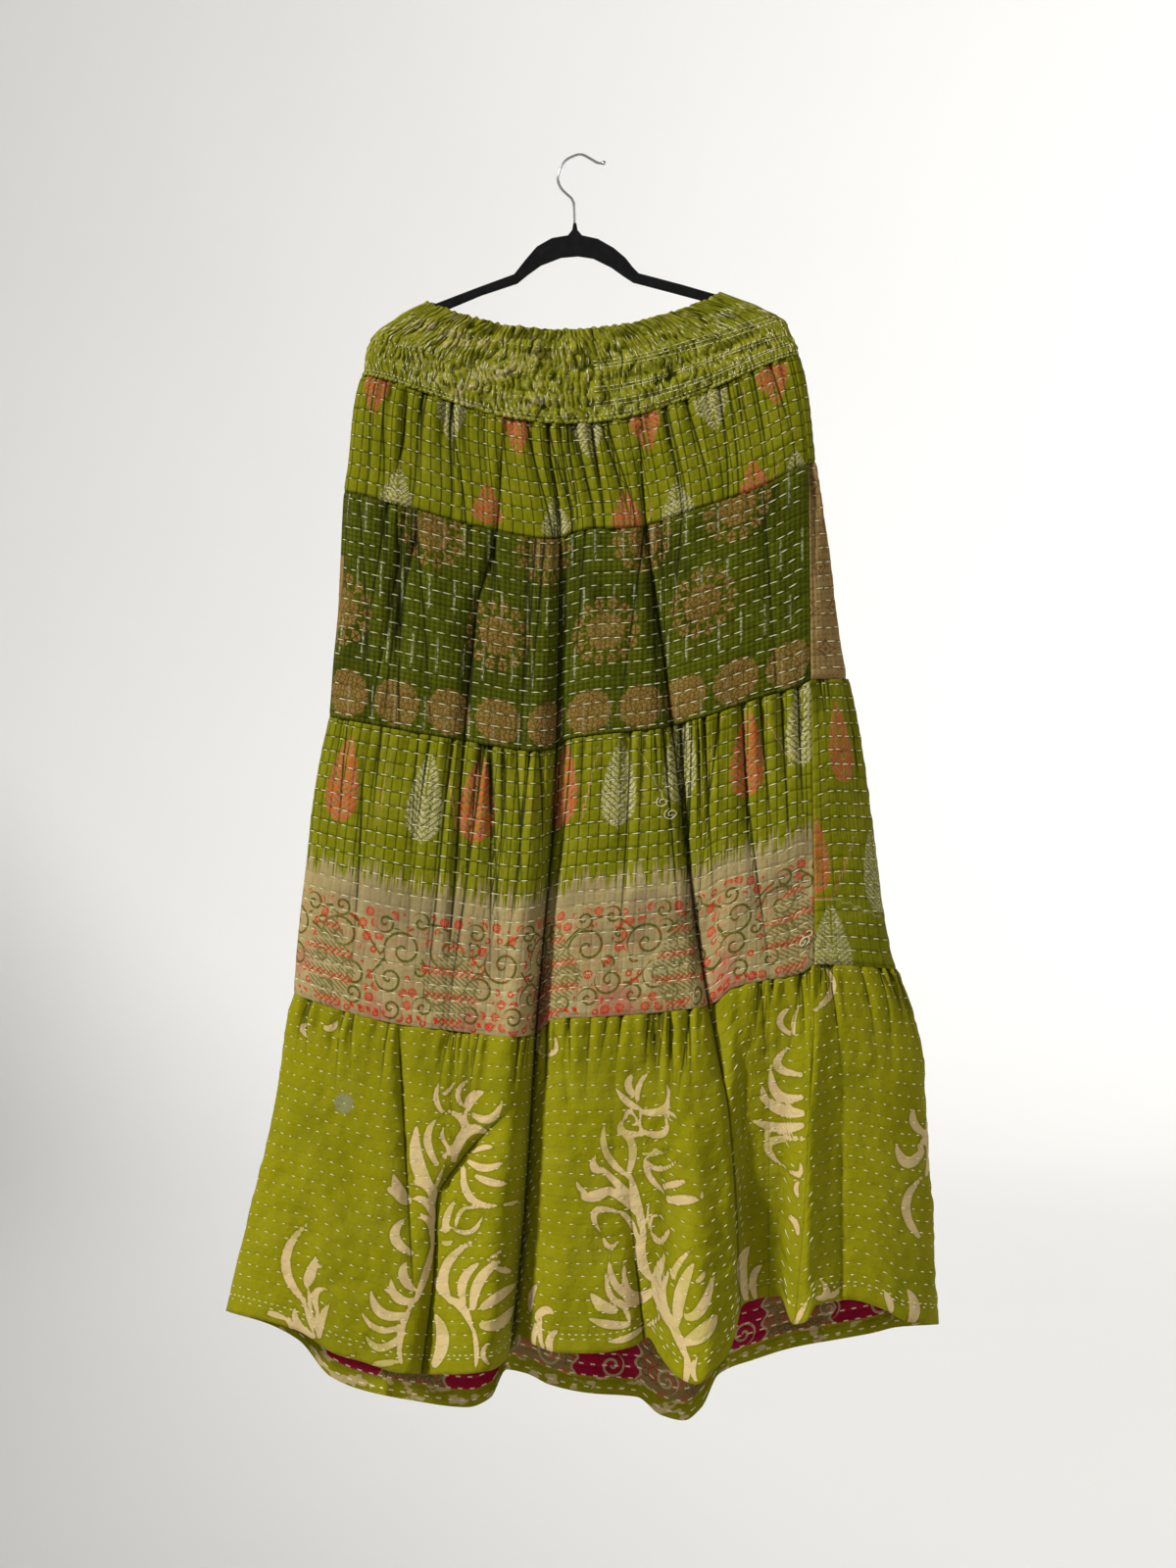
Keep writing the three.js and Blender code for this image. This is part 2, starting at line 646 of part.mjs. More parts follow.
// The wire hook: a round bar along its bend, ending in a ball, with its foot on the hanger's neck.
function hangerHook() {
  const route = [
    [-5.7, -71.5], [-6, -60], [-6.4, -53], [-8.6, -46.2], [-14.3, -40.6], [-19.8, -35], [-22.7, -29.4],
    [-23.6, -24.9], [-21.8, -16.4], [-18.9, -10], [-15.3, -5.2], [-10.6, -2.1], [0, 1.4], [13.5, -4.7],
    [19.1, -7.7], [22.9, -8.1], [27.6, -6.6],
  ];
  const places = route.map(([across, height]) => new THREE.Vector3(across, 0, height));
  const path = new THREE.CatmullRomCurve3(places);
  const length = path.getLength();
  const steps = 34;
  const ballSteps = 5;
  const stations = [];
  for (let step = 0; step <= steps; step += 1) {
    const at = ((length - 2 * WIRE_TIP_RADIUS) * step) / steps;
    stations.push({ at, radius: WIRE_RADIUS });
  }
  const neckAngle = Math.asin(WIRE_RADIUS / WIRE_TIP_RADIUS);
  for (let step = 1; step < ballSteps; step += 1) {
    const angle = lerp(neckAngle, Math.PI, step / ballSteps);
    const back = WIRE_TIP_RADIUS * (1 + Math.cos(angle));
    stations.push({ at: length - back, radius: WIRE_TIP_RADIUS * Math.sin(angle) });
  }
  const points = [];
  for (const { at, radius } of stations) {
    const middle = path.getPointAt(at / length);
    const along = path.getTangentAt(at / length);
    const outward = new THREE.Vector3(-along.z, 0, along.x);
    for (let side = 0; side < WIRE_SIDES; side += 1) {
      const angle = (2 * Math.PI * side) / WIRE_SIDES;
      const point = middle.clone().addScaledVector(outward, radius * Math.cos(angle));
      point.y += radius * Math.sin(angle);
      points.push(point);
    }
  }
  const triangles = [];
  for (let ring = 0; ring < stations.length - 1; ring += 1) {
    for (let side = 0; side < WIRE_SIDES; side += 1) {
      const a = ring * WIRE_SIDES + side;
      const b = ring * WIRE_SIDES + ((side + 1) % WIRE_SIDES);
      triangles.push(a, b + WIRE_SIDES, b, a, a + WIRE_SIDES, b + WIRE_SIDES);
    }
  }
  const foot = points.push(path.getPointAt(0)) - 1;
  const tip = points.push(path.getPointAt(1)) - 1;
  const lastRing = (stations.length - 1) * WIRE_SIDES;
  for (let side = 0; side < WIRE_SIDES; side += 1) {
    const next = (side + 1) % WIRE_SIDES;
    triangles.push(foot, side, next);
    triangles.push(tip, lastRing + next, lastRing + side);
  }
  return closedMesh('hanger_hook', MATERIALS.chrome, points, triangles);
}

const skirt = new THREE.Group();
skirt.add(waistband());
const tierMaterials = [MATERIALS.lime, MATERIALS.darkGreen, MATERIALS.lime, MATERIALS.yellowGreen];
tierMaterials.forEach((material, index) => {
  const tier = index + 1;
  skirt.add(tierPanel(`tier${tier}_front`, tier, frontColumns, material));
  skirt.add(tierPanel(`tier${tier}_back`, tier, backColumns, material));
});
const hanger = new THREE.Group();
hanger.add(hangerBody(), hangerHook());
const group = new THREE.Group();
group.add(hanger, skirt);

export default group;
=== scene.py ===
"""Maxi skirt of four gathered, hand-quilted tiers under a smocked waistband, hung on a velvet hanger.

Blender 4.5 add-on. Lengths are millimetres in the tables and metres in Blender. +X is to the right from
in front, +Y runs through the skirt to its back and +Z is up. The origin is the inner top of the hook's bend.
"""

import functools
import math

import bpy
import numpy as np
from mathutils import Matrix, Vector


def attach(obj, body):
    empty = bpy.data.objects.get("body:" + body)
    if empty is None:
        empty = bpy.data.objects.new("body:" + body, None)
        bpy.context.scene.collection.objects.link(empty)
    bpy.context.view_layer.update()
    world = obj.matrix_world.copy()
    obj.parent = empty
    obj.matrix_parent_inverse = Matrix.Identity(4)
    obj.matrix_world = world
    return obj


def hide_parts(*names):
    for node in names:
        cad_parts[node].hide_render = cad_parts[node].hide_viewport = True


bl_info = {
    "name": "Maxi Skirt",
    "version": (1, 0, 0),
    "blender": (4, 5, 0),
    "location": "View3D > Sidebar > Maxi Skirt",
    "description": "Builds a tiered, hand-stitched maxi skirt on a velvet hanger",
    "category": "Object",
}

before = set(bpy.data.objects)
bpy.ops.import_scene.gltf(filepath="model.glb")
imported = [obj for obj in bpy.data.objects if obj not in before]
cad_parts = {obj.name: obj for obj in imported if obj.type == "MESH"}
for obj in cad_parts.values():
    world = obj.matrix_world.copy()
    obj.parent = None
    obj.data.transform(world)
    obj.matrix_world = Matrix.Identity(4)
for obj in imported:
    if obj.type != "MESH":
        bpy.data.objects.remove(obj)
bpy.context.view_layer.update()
MM = 0.001
TURN = 2 * math.pi


def table(names, *rows):
    """Columns of a table as arrays, named by the words in names."""
    return dict(zip(names.split(), np.array(rows, float).T))


# The tables give each place as it looks on the hanger's own plane from an eye in front of it.
# Cloth that lies nearer or farther than that plane is scaled about the eye.
EYE_ACROSS = 8.3
EYE_HEIGHT = -666.6
EYE_DISTANCE = 2200.0

# Outer edges of the hanging skirt
OUTLINE = table(
    "height left right",
    (-145, -160, 149), (-154, -164, 174), (-162, -179, 193), (-174, -197, 215), (-190, -219, 224),
    (-207, -226, 231), (-226, -229, 237), (-240, -234, 240), (-270, -240, 244), (-321, -245, 249),
    (-360, -251, 256), (-420, -254, 264), (-484, -257, 271), (-537, -262, 279), (-590, -266, 291),
    (-640, -276, 301), (-690, -284, 307), (-745, -290, 315), (-795, -296, 321), (-845, -301, 329),
    (-888, -304, 345), (-910, -310, 353), (-970, -318, 364), (-1050, -333, 370), (-1103, -346, 373),
    (-1150, -358, 375), (-1190, -368, 377), (-1240, -379, 380),
)

# One row for each sewn level, from the band's top edge down to the hem
LEVELS = table(
    "level front_depth back_depth end_radius valley side_seam",
    (0, 9, 9, 8, -40, 140),
    (1, 13, 11, 9, -38, 224),
    (2, 26, 16, 10, -21, 242),
    (3, 40, 20, 12, -25, 245),
    (4, 56, 26, 14, -47, 249),
    (4.5, 64, 30, 15, -58, 241),
    (5, 72, 34, 16, -74, 230),
)

# Sewn lines that sag evenly between the two side edges: left end, right end, sag, power of the bow
EVEN_SEAMS = {
    "front": [(-154, -145, 34, 1), (-233, -211, 62, 1.5)],
    "back": [
        (-154, -145, 36, 1), (-233, -211, 64, 1.5), (-356, -325, 66, 1), (-595, -555, 58, 1),
        (-889, -863, 68, 1),
    ],
}

# Sewn lines that step where a fold crosses them
FIRST_SEAM = table(
    "across height",
    (-251, -356), (-191, -371), (-114, -392), (-28, -407), (13, -396), (56, -395), (119, -377),
    (198, -350), (239, -329), (253, -325),
)
SECOND_SEAM = table(
    "across height",
    (-267, -595), (-200, -608), (-123, -621), (-47, -632), (-30, -630), (-14, -620), (17, -615),
    (83, -608), (131, -596), (193, -575), (234, -563), (250, -555), (283, -555),
)
THIRD_SEAM = table(
    "across height",
    (-304, -889), (-260, -905), (-190, -922), (-132, -929), (-69, -935), (-50, -932), (-26, -916),
    (17, -914), (118, -905), (144, -898), (160, -884), (234, -867), (250, -858), (334, -863),
)
FRONT_HEM = table(
    "across height",
    (-379, -1226), (-341, -1235), (-304, -1246), (-261, -1272), (-236, -1279), (-190, -1292),
    (-135, -1293), (-97, -1289), (-82, -1279), (-68, -1251), (-52, -1261), (-24, -1270), (8, -1271),
    (54, -1264), (71, -1254), (84, -1274), (104, -1297), (122, -1304), (139, -1289), (157, -1269),
    (175, -1218), (215, -1210), (228, -1240), (238, -1238), (250, -1220), (288, -1214), (323, -1224),
    (348, -1237), (380, -1240),
)
BACK_HEM = table(
    "across height",
    (-379, -1226), (-335, -1239), (-301, -1257), (-268, -1295), (-236, -1309), (-185, -1320),
    (-122, -1328), (-97, -1318), (-80, -1288), (-59, -1292), (-34, -1304), (8, -1313), (59, -1317),
    (84, -1336), (109, -1342), (128, -1328), (146, -1293), (185, -1277), (228, -1264), (273, -1256),
    (311, -1249), (336, -1243), (380, -1240),
)
DRAWN_SEAMS = {
    ("front", 2): FIRST_SEAM,
    ("front", 3): SECOND_SEAM,
    ("front", 4): THIRD_SEAM,
    ("front", 5): FRONT_HEM,
    ("back", 5): BACK_HEM,
}


def fold(*rows):
    """Track of one fold down the cloth. A depth above zero is a trough, below zero a ridge."""
    return table("height across half_width depth", *rows)


# Half width from which a trough has a flat floor
FLAT_FROM = 29.0

FRONT_FOLDS = {
    "main valley": fold(
        (-285, -38, 9, 0), (-401, -21, 12, 9), (-630, -25, 13, 16), (-934, -47, 15, 24),
        (-1136, -60, 17, 31), (-1290, -76, 18, 36),
    ),
    "ridge by the valley": fold(
        (-330, -38, 14, 0), (-630, -47, 16, -7), (-934, -72, 20, -11), (-1290, -104, 26, -16),
    ),
    "left of the valley": fold(
        (-270, -82, 8, 0), (-330, -84, 9, 5), (-394, -88, 10, 6), (-477, -109, 11, 8),
        (-627, -124, 12, 8), (-793, -135, 13, 6), (-860, -141, 14, 0),
    ),
    "far left, upper": fold((-240, -183, 9, 0), (-300, -188, 10, 5), (-371, -206, 10, 0)),
    "far left, middle": fold(
        (-372, -170, 10, 0), (-423, -179, 10, 6), (-472, -188, 11, 6), (-560, -194, 12, 0),
    ),
    "far left, lower": fold((-620, -230, 12, 0), (-720, -233, 13, 5), (-890, -245, 14, 0)),
    "hem left, straight": fold(
        (-925, -193, 11, 2), (-1008, -188, 12, 10), (-1103, -183, 13, 8), (-1230, -176, 14, 0),
    ),
    "hem left, slanting": fold(
        (-1000, -62, 11, 0), (-1062, -123, 12, 9), (-1110, -152, 13, 10), (-1170, -154, 14, 14),
        (-1300, -169, 16, 20),
    ),
    "inset pleat": fold(
        (-287, 62, 7, 2), (-396, 70, 10, 9), (-546, 90, 13, 14), (-668, 105, 13, 14),
        (-869, 131, 13, 16), (-960, 148, 12, 14), (-1015, 158, 10, 8), (-1125, 166, 8, 4),
        (-1290, 172, 8, 3),
    ),
    "floor of the pleat": fold(
        (-885, 196, 30, 0), (-960, 197, 31, 12), (-1060, 199, 32, 24), (-1217, 203, 33, 34),
        (-1290, 203, 33, 37),
    ),
    "ridge by the pleat": fold(
        (-940, 104, 22, 0), (-1060, 122, 24, -12), (-1200, 130, 25, -20), (-1300, 133, 26, -24),
    ),
    "hem, centre right": fold((-1080, 48, 12, 0), (-1180, 60, 13, 7), (-1290, 71, 14, 14)),
    "right middle": fold((-560, 170, 14, 0), (-680, 178, 15, 6), (-860, 200, 15, 2)),
    "side ridge": fold(
        (-870, 252, 11, 0), (-940, 249, 11, -7), (-1110, 240, 10, -10), (-1245, 231, 10, -12),
    ),
    "side hollow": fold((-880, 282, 27, 0), (-1100, 279, 28, 13), (-1250, 279, 28, 17)),
}
BACK_FOLDS = {
    "left trough": fold(
        (-300, -118, 10, 0), (-630, -140, 14, 6), (-940, -166, 16, 9), (-1310, -206, 20, 13),
    ),
    "centre trough": fold(
        (-340, -12, 11, 0), (-560, -18, 13, 5), (-940, -26, 16, 9), (-1310, -84, 18, 14),
    ),
    "centre ridge": fold((-620, 34, 18, 0), (-1330, 20, 30, -8)),
    "right trough": fold(
        (-280, 92, 10, 0), (-620, 112, 14, 7), (-940, 128, 16, 10), (-1310, 156, 20, 14),
    ),
    "far right trough": fold((-620, 206, 14, 0), (-1290, 262, 24, 10)),
}
FOLDS = {"front": FRONT_FOLDS, "back": BACK_FOLDS}

# Small creases in the plane: points along each, then its half width and depth
CREASES = [
    (((-82, -1025), (-134, -1083), (-160, -1139)), 5.0, 2.2),
    (((-281, -1198), (-210, -1194)), 4.5, 1.6),
    (((-256, -911), (-265, -950)), 4.0, 1.6),
    (((-146, -943), (-148, -966)), 4.0, 1.8),
    (((-10, -917), (-16, -944), (-12, -1005)), 4.0, 1.9),
    (((46, -913), (38, -957), (34, -1101)), 4.5, 1.6),
    (((-24, -920), (-26, -963)), 4.0, 1.8),
    (((220, -885), (229, -986)), 5.0, 2.0),
    (((289, -1029), (331, -1070)), 6.0, 2.2),
    (((-300, -1120), (-255, -1160)), 6.0, 1.4),
    (((120, -1010), (92, -1062), (88, -1130)), 6.0, 1.5),
    (((-55, -640), (-60, -700)), 4.0, 1.8),
    (((60, -615), (66, -680)), 4.0, 1.6),
    (((-215, -612), (-222, -668)), 4.0, 1.6),
]

# Gathers below each seam, by tier: depth, distance in which they fade, and columns from one to the next
GATHERS = {1: (3.7, 52, 1), 2: (2.8, 44, 3), 3: (4.4, 48, 1), 4: (2.4, 38, 1)}
# Drop below the seam in which the gathers reach their full depth
GATHER_RISE = 12.0
# Finer gathers between them, by tier: depth and distance in which they fade
FINE_GATHERS = {1: (1.7, 30), 2: (1.3, 24), 3: (1.7, 28), 4: (1.0, 20)}

# Sharp pleats that run down from each seam: how many in the pleat span's width, then their shortest
# and longest share of the tier, and their least and greatest depth
PLEAT_SPAN = 560.0
PLEATS = {
    1: (30, 0.5, 1.8, 2.2, 5.2),
    2: (24, 0.25, 1.4, 1.5, 4.2),
    3: (32, 0.12, 0.8, 2.0, 5.6),
    4: (36, 0.05, 0.22, 1.8, 4.8),
}

# Columns are counted to the right from the front's left edge as far as its valley and its side seam.
# On the back they are counted from the side seam, round the right-hand edge and across the back.
FRONT_LEFT_COLUMNS = 22
FRONT_RIGHT_COLUMNS = 26
WRAP_COLUMNS = 7
BACK_COLUMNS = 36
LAST_COLUMN = {
    "front": FRONT_LEFT_COLUMNS + FRONT_RIGHT_COLUMNS,
    "back": WRAP_COLUMNS + BACK_COLUMNS,
}
# How far columns crowd towards the side edges, from 0 to 1
END_CROWDING = 0.7
BAND_CROWDING = 0.35
# Share of the way down a tier where its flat width is measured
WIDTH_LEVEL = 0.78
# Distance between a grid's rows, in distances between its columns
ROW_STRETCH = 1.4
# Share of the way down the fourth tier where the hem is sewn, and how much thicker the cloth is below it
HEM_SHARE = 0.945
HEM_THICKER = 1.2
# How much longer the band's cloth is than it measures drawn in, and the thickness of that cloth
BAND_WALL = 1.5

# Rows of running stitch, by tier: height of the first below its seam, and from one row to the next
FIRST_ROW = 5.0
ROW_PITCH = {1: 14.5, 2: 14.2, 3: 14.5, 4: 13.0}
# Stitches in a row, by tier: from one to the next, their length, and how far each row moves them on
STITCHING = {1: (11.0, 5.6, None), 2: (13.0, 8.6, None), 3: (12.6, 7.6, None), 4: (12.3, 4.3, 4.2)}
# Stitches along the hem: from one to the next, their length, and where the first one starts
HEM_STITCHES = (7.0, 3.6, 5.0)
# Share of the stitches in the rows that is left out
LEFT_OUT = 0.03
# Size of the soft wrinkles, by tier
WRINKLES = {1: 1.0, 2: 1.3, 3: 1.5, 4: 2.3}

# The wire hook's bend, across and height
HOOK_ROUTE = [
    (-5.7, -71.5), (-6, -60), (-6.4, -53), (-8.6, -46.2), (-14.3, -40.6), (-19.8, -35), (-22.7, -29.4),
    (-23.6, -24.9), (-21.8, -16.4), (-18.9, -10), (-15.3, -5.2), (-10.6, -2.1), (0, 1.4), (13.5, -4.7),
    (19.1, -7.7), (22.9, -8.1), (27.6, -6.6),
]


def read(columns, key, name, at):
    """Value of one column of a table at places on another: a cubic between rows that never overshoots."""
    x, y = columns[key], columns[name]
    if x[0] > x[-1]:
        x, y = x[::-1], y[::-1]
    gap = np.diff(x)
    slope = np.diff(y) / gap
    turning = slope[:-1] * slope[1:] <= 0
    before = np.where(turning, 1, slope[:-1])
    after = np.where(turning, 1, slope[1:])
    near, far = 2 * gap[1:] + gap[:-1], gap[1:] + 2 * gap[:-1]
    inner = np.where(turning, 0, (near + far) / (near / before + far / after))
    tangent = np.concatenate([slope[:1], inner, slope[-1:]])
    at = np.clip(at, x[0], x[-1])
    row = np.clip(np.searchsorted(x, at) - 1, 0, len(gap) - 1)
    t = (at - x[row]) / gap[row]
    start = y[row] + t * gap[row] * tangent[row] * (1 - t) ** 2
    middle = (y[row + 1] - y[row]) * t * t * (3 - 2 * t)
    end = t * t * (1 - t) * gap[row] * tangent[row + 1]
    return start + middle - end


def seam_height(level, side, share):
    """Height of a sewn line: drawn rows, or a straight line less a bow of 4s(1 - s) to a power."""
    drawn = DRAWN_SEAMS.get((side, level))
    if drawn is None:
        left, right, sag, power = EVEN_SEAMS[side][level]
        return left + (right - left) * share - sag * (4 * share * (1 - share)) ** power
    across = drawn["across"][0] + (drawn["across"][-1] - drawn["across"][0]) * share
    return read(drawn, "across", "height", across)


def ring_at(tier, down):
    """Middle, half width and level of the ring of cloth a share of the way down a tier."""
    ends = []
    for share, name in ((0.0, "left"), (1.0, "right")):
        top, bottom = seam_height(tier, "front", share), seam_height(tier + 1, "front", share)
        ends.append(read(OUTLINE, "height", name, top + (bottom - top) * down))
    left, right = ends
    return (left + right) / 2, (right - left) / 2, tier + down


def track(rows, height):
    """A fold's place across, half width and depth at each height, and whether it has begun there."""
    values = [read(rows, "height", name, height) for name in ("across", "half_width", "depth")]
    return *values, height <= rows["height"][0]


def fold_relief(folds, across, height):
    """Sum of the folds, as bell curves of the distance from their tracks, less each depth.

    A narrow trough is steep on its left and gentle on its right, with a sharp line along its bottom. A
    wide one has a flat floor.
    """
    relief = np.zeros(np.broadcast(across, height).shape)
    for rows in folds.values():
        middle, width, depth, begun = track(rows, height)
        away = across - middle
        skewed = np.where(away < 0, away / 0.6, away / 1.4) / width
        sharp = 0.8 * np.exp(-np.abs(skewed) ** 1.6) + 0.32 * np.exp(-np.abs(away / 3.0) ** 1.2)
        trough = np.where(width < FLAT_FROM, sharp, np.exp(-((away / width) ** 6)))
        bell = depth * np.where(depth > 0, trough, np.exp(-((away / width) ** 2)))
        relief -= np.where(begun, bell, 0)
    return relief


def gather_relief(tier, column, drop):
    """Gathers below a seam: broad ridges, narrow troughs and finer waves, all fading downwards."""
    if tier not in GATHERS:
        return 0.0 * column * drop
    depth, fade, every = GATHERS[tier]
    step = column / every
    whole = np.floor(step)
    shares = [
        0.62 + 0.38 * np.sin(5.3 * n + 2.1 * tier + 1.7 * np.sin(1.9 * n)) for n in (whole, whole + 1)
    ]
    amount = shares[0] + (shares[1] - shares[0]) * (step - whole)
    ridge = 1 - 2 * ((1 - np.cos(math.pi * step)) / 2) ** 1.5
    rise = 0.5 + 0.5 * np.minimum(1, drop / GATHER_RISE)
    main = depth * amount * ridge * rise * np.exp(-drop / fade)
    fine, fine_fade = FINE_GATHERS[tier]
    phase = TURN * (1.13 * column + 0.42 * np.sin(1.31 * column) + 0.3 * np.sin(0.53 * column + tier))
    uneven = 0.55 + 0.45 * np.sin(0.97 * column + 2.4 * tier)
    return main + fine * uneven * np.cos(phase) * np.exp(-drop / fine_fade)


def by_side(front, value):
    """Values of the front where the first array says so, and those of the back elsewhere."""
    return np.where(front, value("front"), value("back"))


def drape(tier, down, share, facing, column, own=0.0):
    """Points of the cloth's outer face in the plane, and the level directions out of it.

    The ring is a lens with rounded ends: its depth times the root of one less the share across to a
    power. Facing is -1 on the front and 1 on the back. Folds, gathers and own relief go outwards.
    """
    centre, half, level = ring_at(tier, down)
    front = facing < 0
    depth = by_side(front, lambda side: read(LEVELS, "level", f"{side}_depth", level))
    radius = read(LEVELS, "level", "end_radius", level)
    power = np.maximum(2, 2 * half * radius / depth**2)
    reach = np.abs(share)
    rise = np.sqrt(np.maximum(0, 1 - reach**power))
    across = centre + half * share
    along = (1 + share) / 2
    top = by_side(front, lambda side: seam_height(tier, side, along))
    bottom = by_side(front, lambda side: seam_height(tier + 1, side, along))
    height = top + (bottom - top) * down
    out_across = power * reach ** (power - 1) * np.sign(share) / half
    out_depth = facing * 2 * rise / depth
    length = np.hypot(out_across, out_depth)
    out_across, out_depth = out_across / length, out_depth / length
    folds = 0.0
    if tier > 0:
        folds = by_side(front, lambda side: fold_relief(FOLDS[side], across, height))
    relief = (folds + gather_relief(tier, column, top - height)) * rise + own
    points = np.stack(
        [across + relief * out_across, facing * depth * rise + relief * out_depth, height + 0 * relief], -1
    )
    out = np.stack(np.broadcast_arrays(out_across, out_depth, 0 * relief), -1)
    return points, out


def to_depth(points):
    """Brings points from the hanger's plane to their own depth, along the lines to the eye."""
    scale = 1 + points[..., 1] / EYE_DISTANCE
    across = EYE_ACROSS + (points[..., 0] - EYE_ACROSS) * scale
    height = EYE_HEIGHT + (points[..., 2] - EYE_HEIGHT) * scale
    return np.stack([across, points[..., 1], height], -1)


def front_share(tier, down, column):
    """Share across the front for a column: crowded at the left edge, even from the valley to the seam."""
    centre, half, level = ring_at(tier, down)
    valley = (read(LEVELS, "level", "valley", level) - centre) / half
    seam = (read(LEVELS, "level", "side_seam", level) - centre) / half
    step = np.clip(column / FRONT_LEFT_COLUMNS, 0, 1)
    eased = step + (1 - np.cos(math.pi * step / 2) - step) * END_CROWDING
    right = np.clip((column - FRONT_LEFT_COLUMNS) / FRONT_RIGHT_COLUMNS, 0, 1)
    share = -1 + (valley + 1) * eased
    return np.where(column <= FRONT_LEFT_COLUMNS, share, valley + (seam - valley) * right)


def back_share(tier, down, column):
    """Share across for a column of the back piece: round the right-hand edge, then across the back."""
    centre, half, level = ring_at(tier, down)
    seam = (read(LEVELS, "level", "side_seam", level) - centre) / half
    step = np.clip(column / WRAP_COLUMNS, 0, 1)
    eased = step + (np.sin(math.pi * step / 2) - step) * END_CROWDING
    across = np.clip((column - WRAP_COLUMNS) / BACK_COLUMNS, 0, 1)
    straight = 1 - 2 * across
    behind = straight + (np.cos(math.pi * across) - straight) * END_CROWDING
    return np.where(column <= WRAP_COLUMNS, seam + (1 - seam) * eased, behind)


def waves(u, v, seed, length, count=9):
    """Uneven wrinkles between -1 and 1: the mean of cosines that run in random directions."""
    random = np.random.default_rng(seed)
    total = np.zeros(np.broadcast(u, v).shape)
    for _ in range(count):
        angle, phase, scale = random.uniform(0, TURN), random.uniform(0, 7), random.uniform(0.6, 1.6)
        way = TURN / (length * scale)
        bend = 1.3 * np.sin(way * 0.43 * (u * math.sin(angle) - v * math.cos(angle)) + phase)
        total += np.cos(way * (u * math.cos(angle) + v * math.sin(angle)) + phase + bend)
    return total / count * 1.7


def crease_relief(across, height):
    """Small creases: less each depth times a bell curve of the distance to its line, fading at its ends."""
    relief = np.zeros(across.shape)
    for line, width, depth in CREASES:
        points = np.array(line, float)
        best = np.full(across.shape, 1e9)
        for start, end in zip(points[:-1], points[1:]):
            way = end - start
            t = ((across - start[0]) * way[0] + (height - start[1]) * way[1]) / (way @ way)
            t = np.clip(t, 0, 1)
            away = np.hypot(across - start[0] - t * way[0], height - start[1] - t * way[1])
            best = np.minimum(best, away)
        relief -= depth * np.exp(-((best / width) ** 2))
    return relief


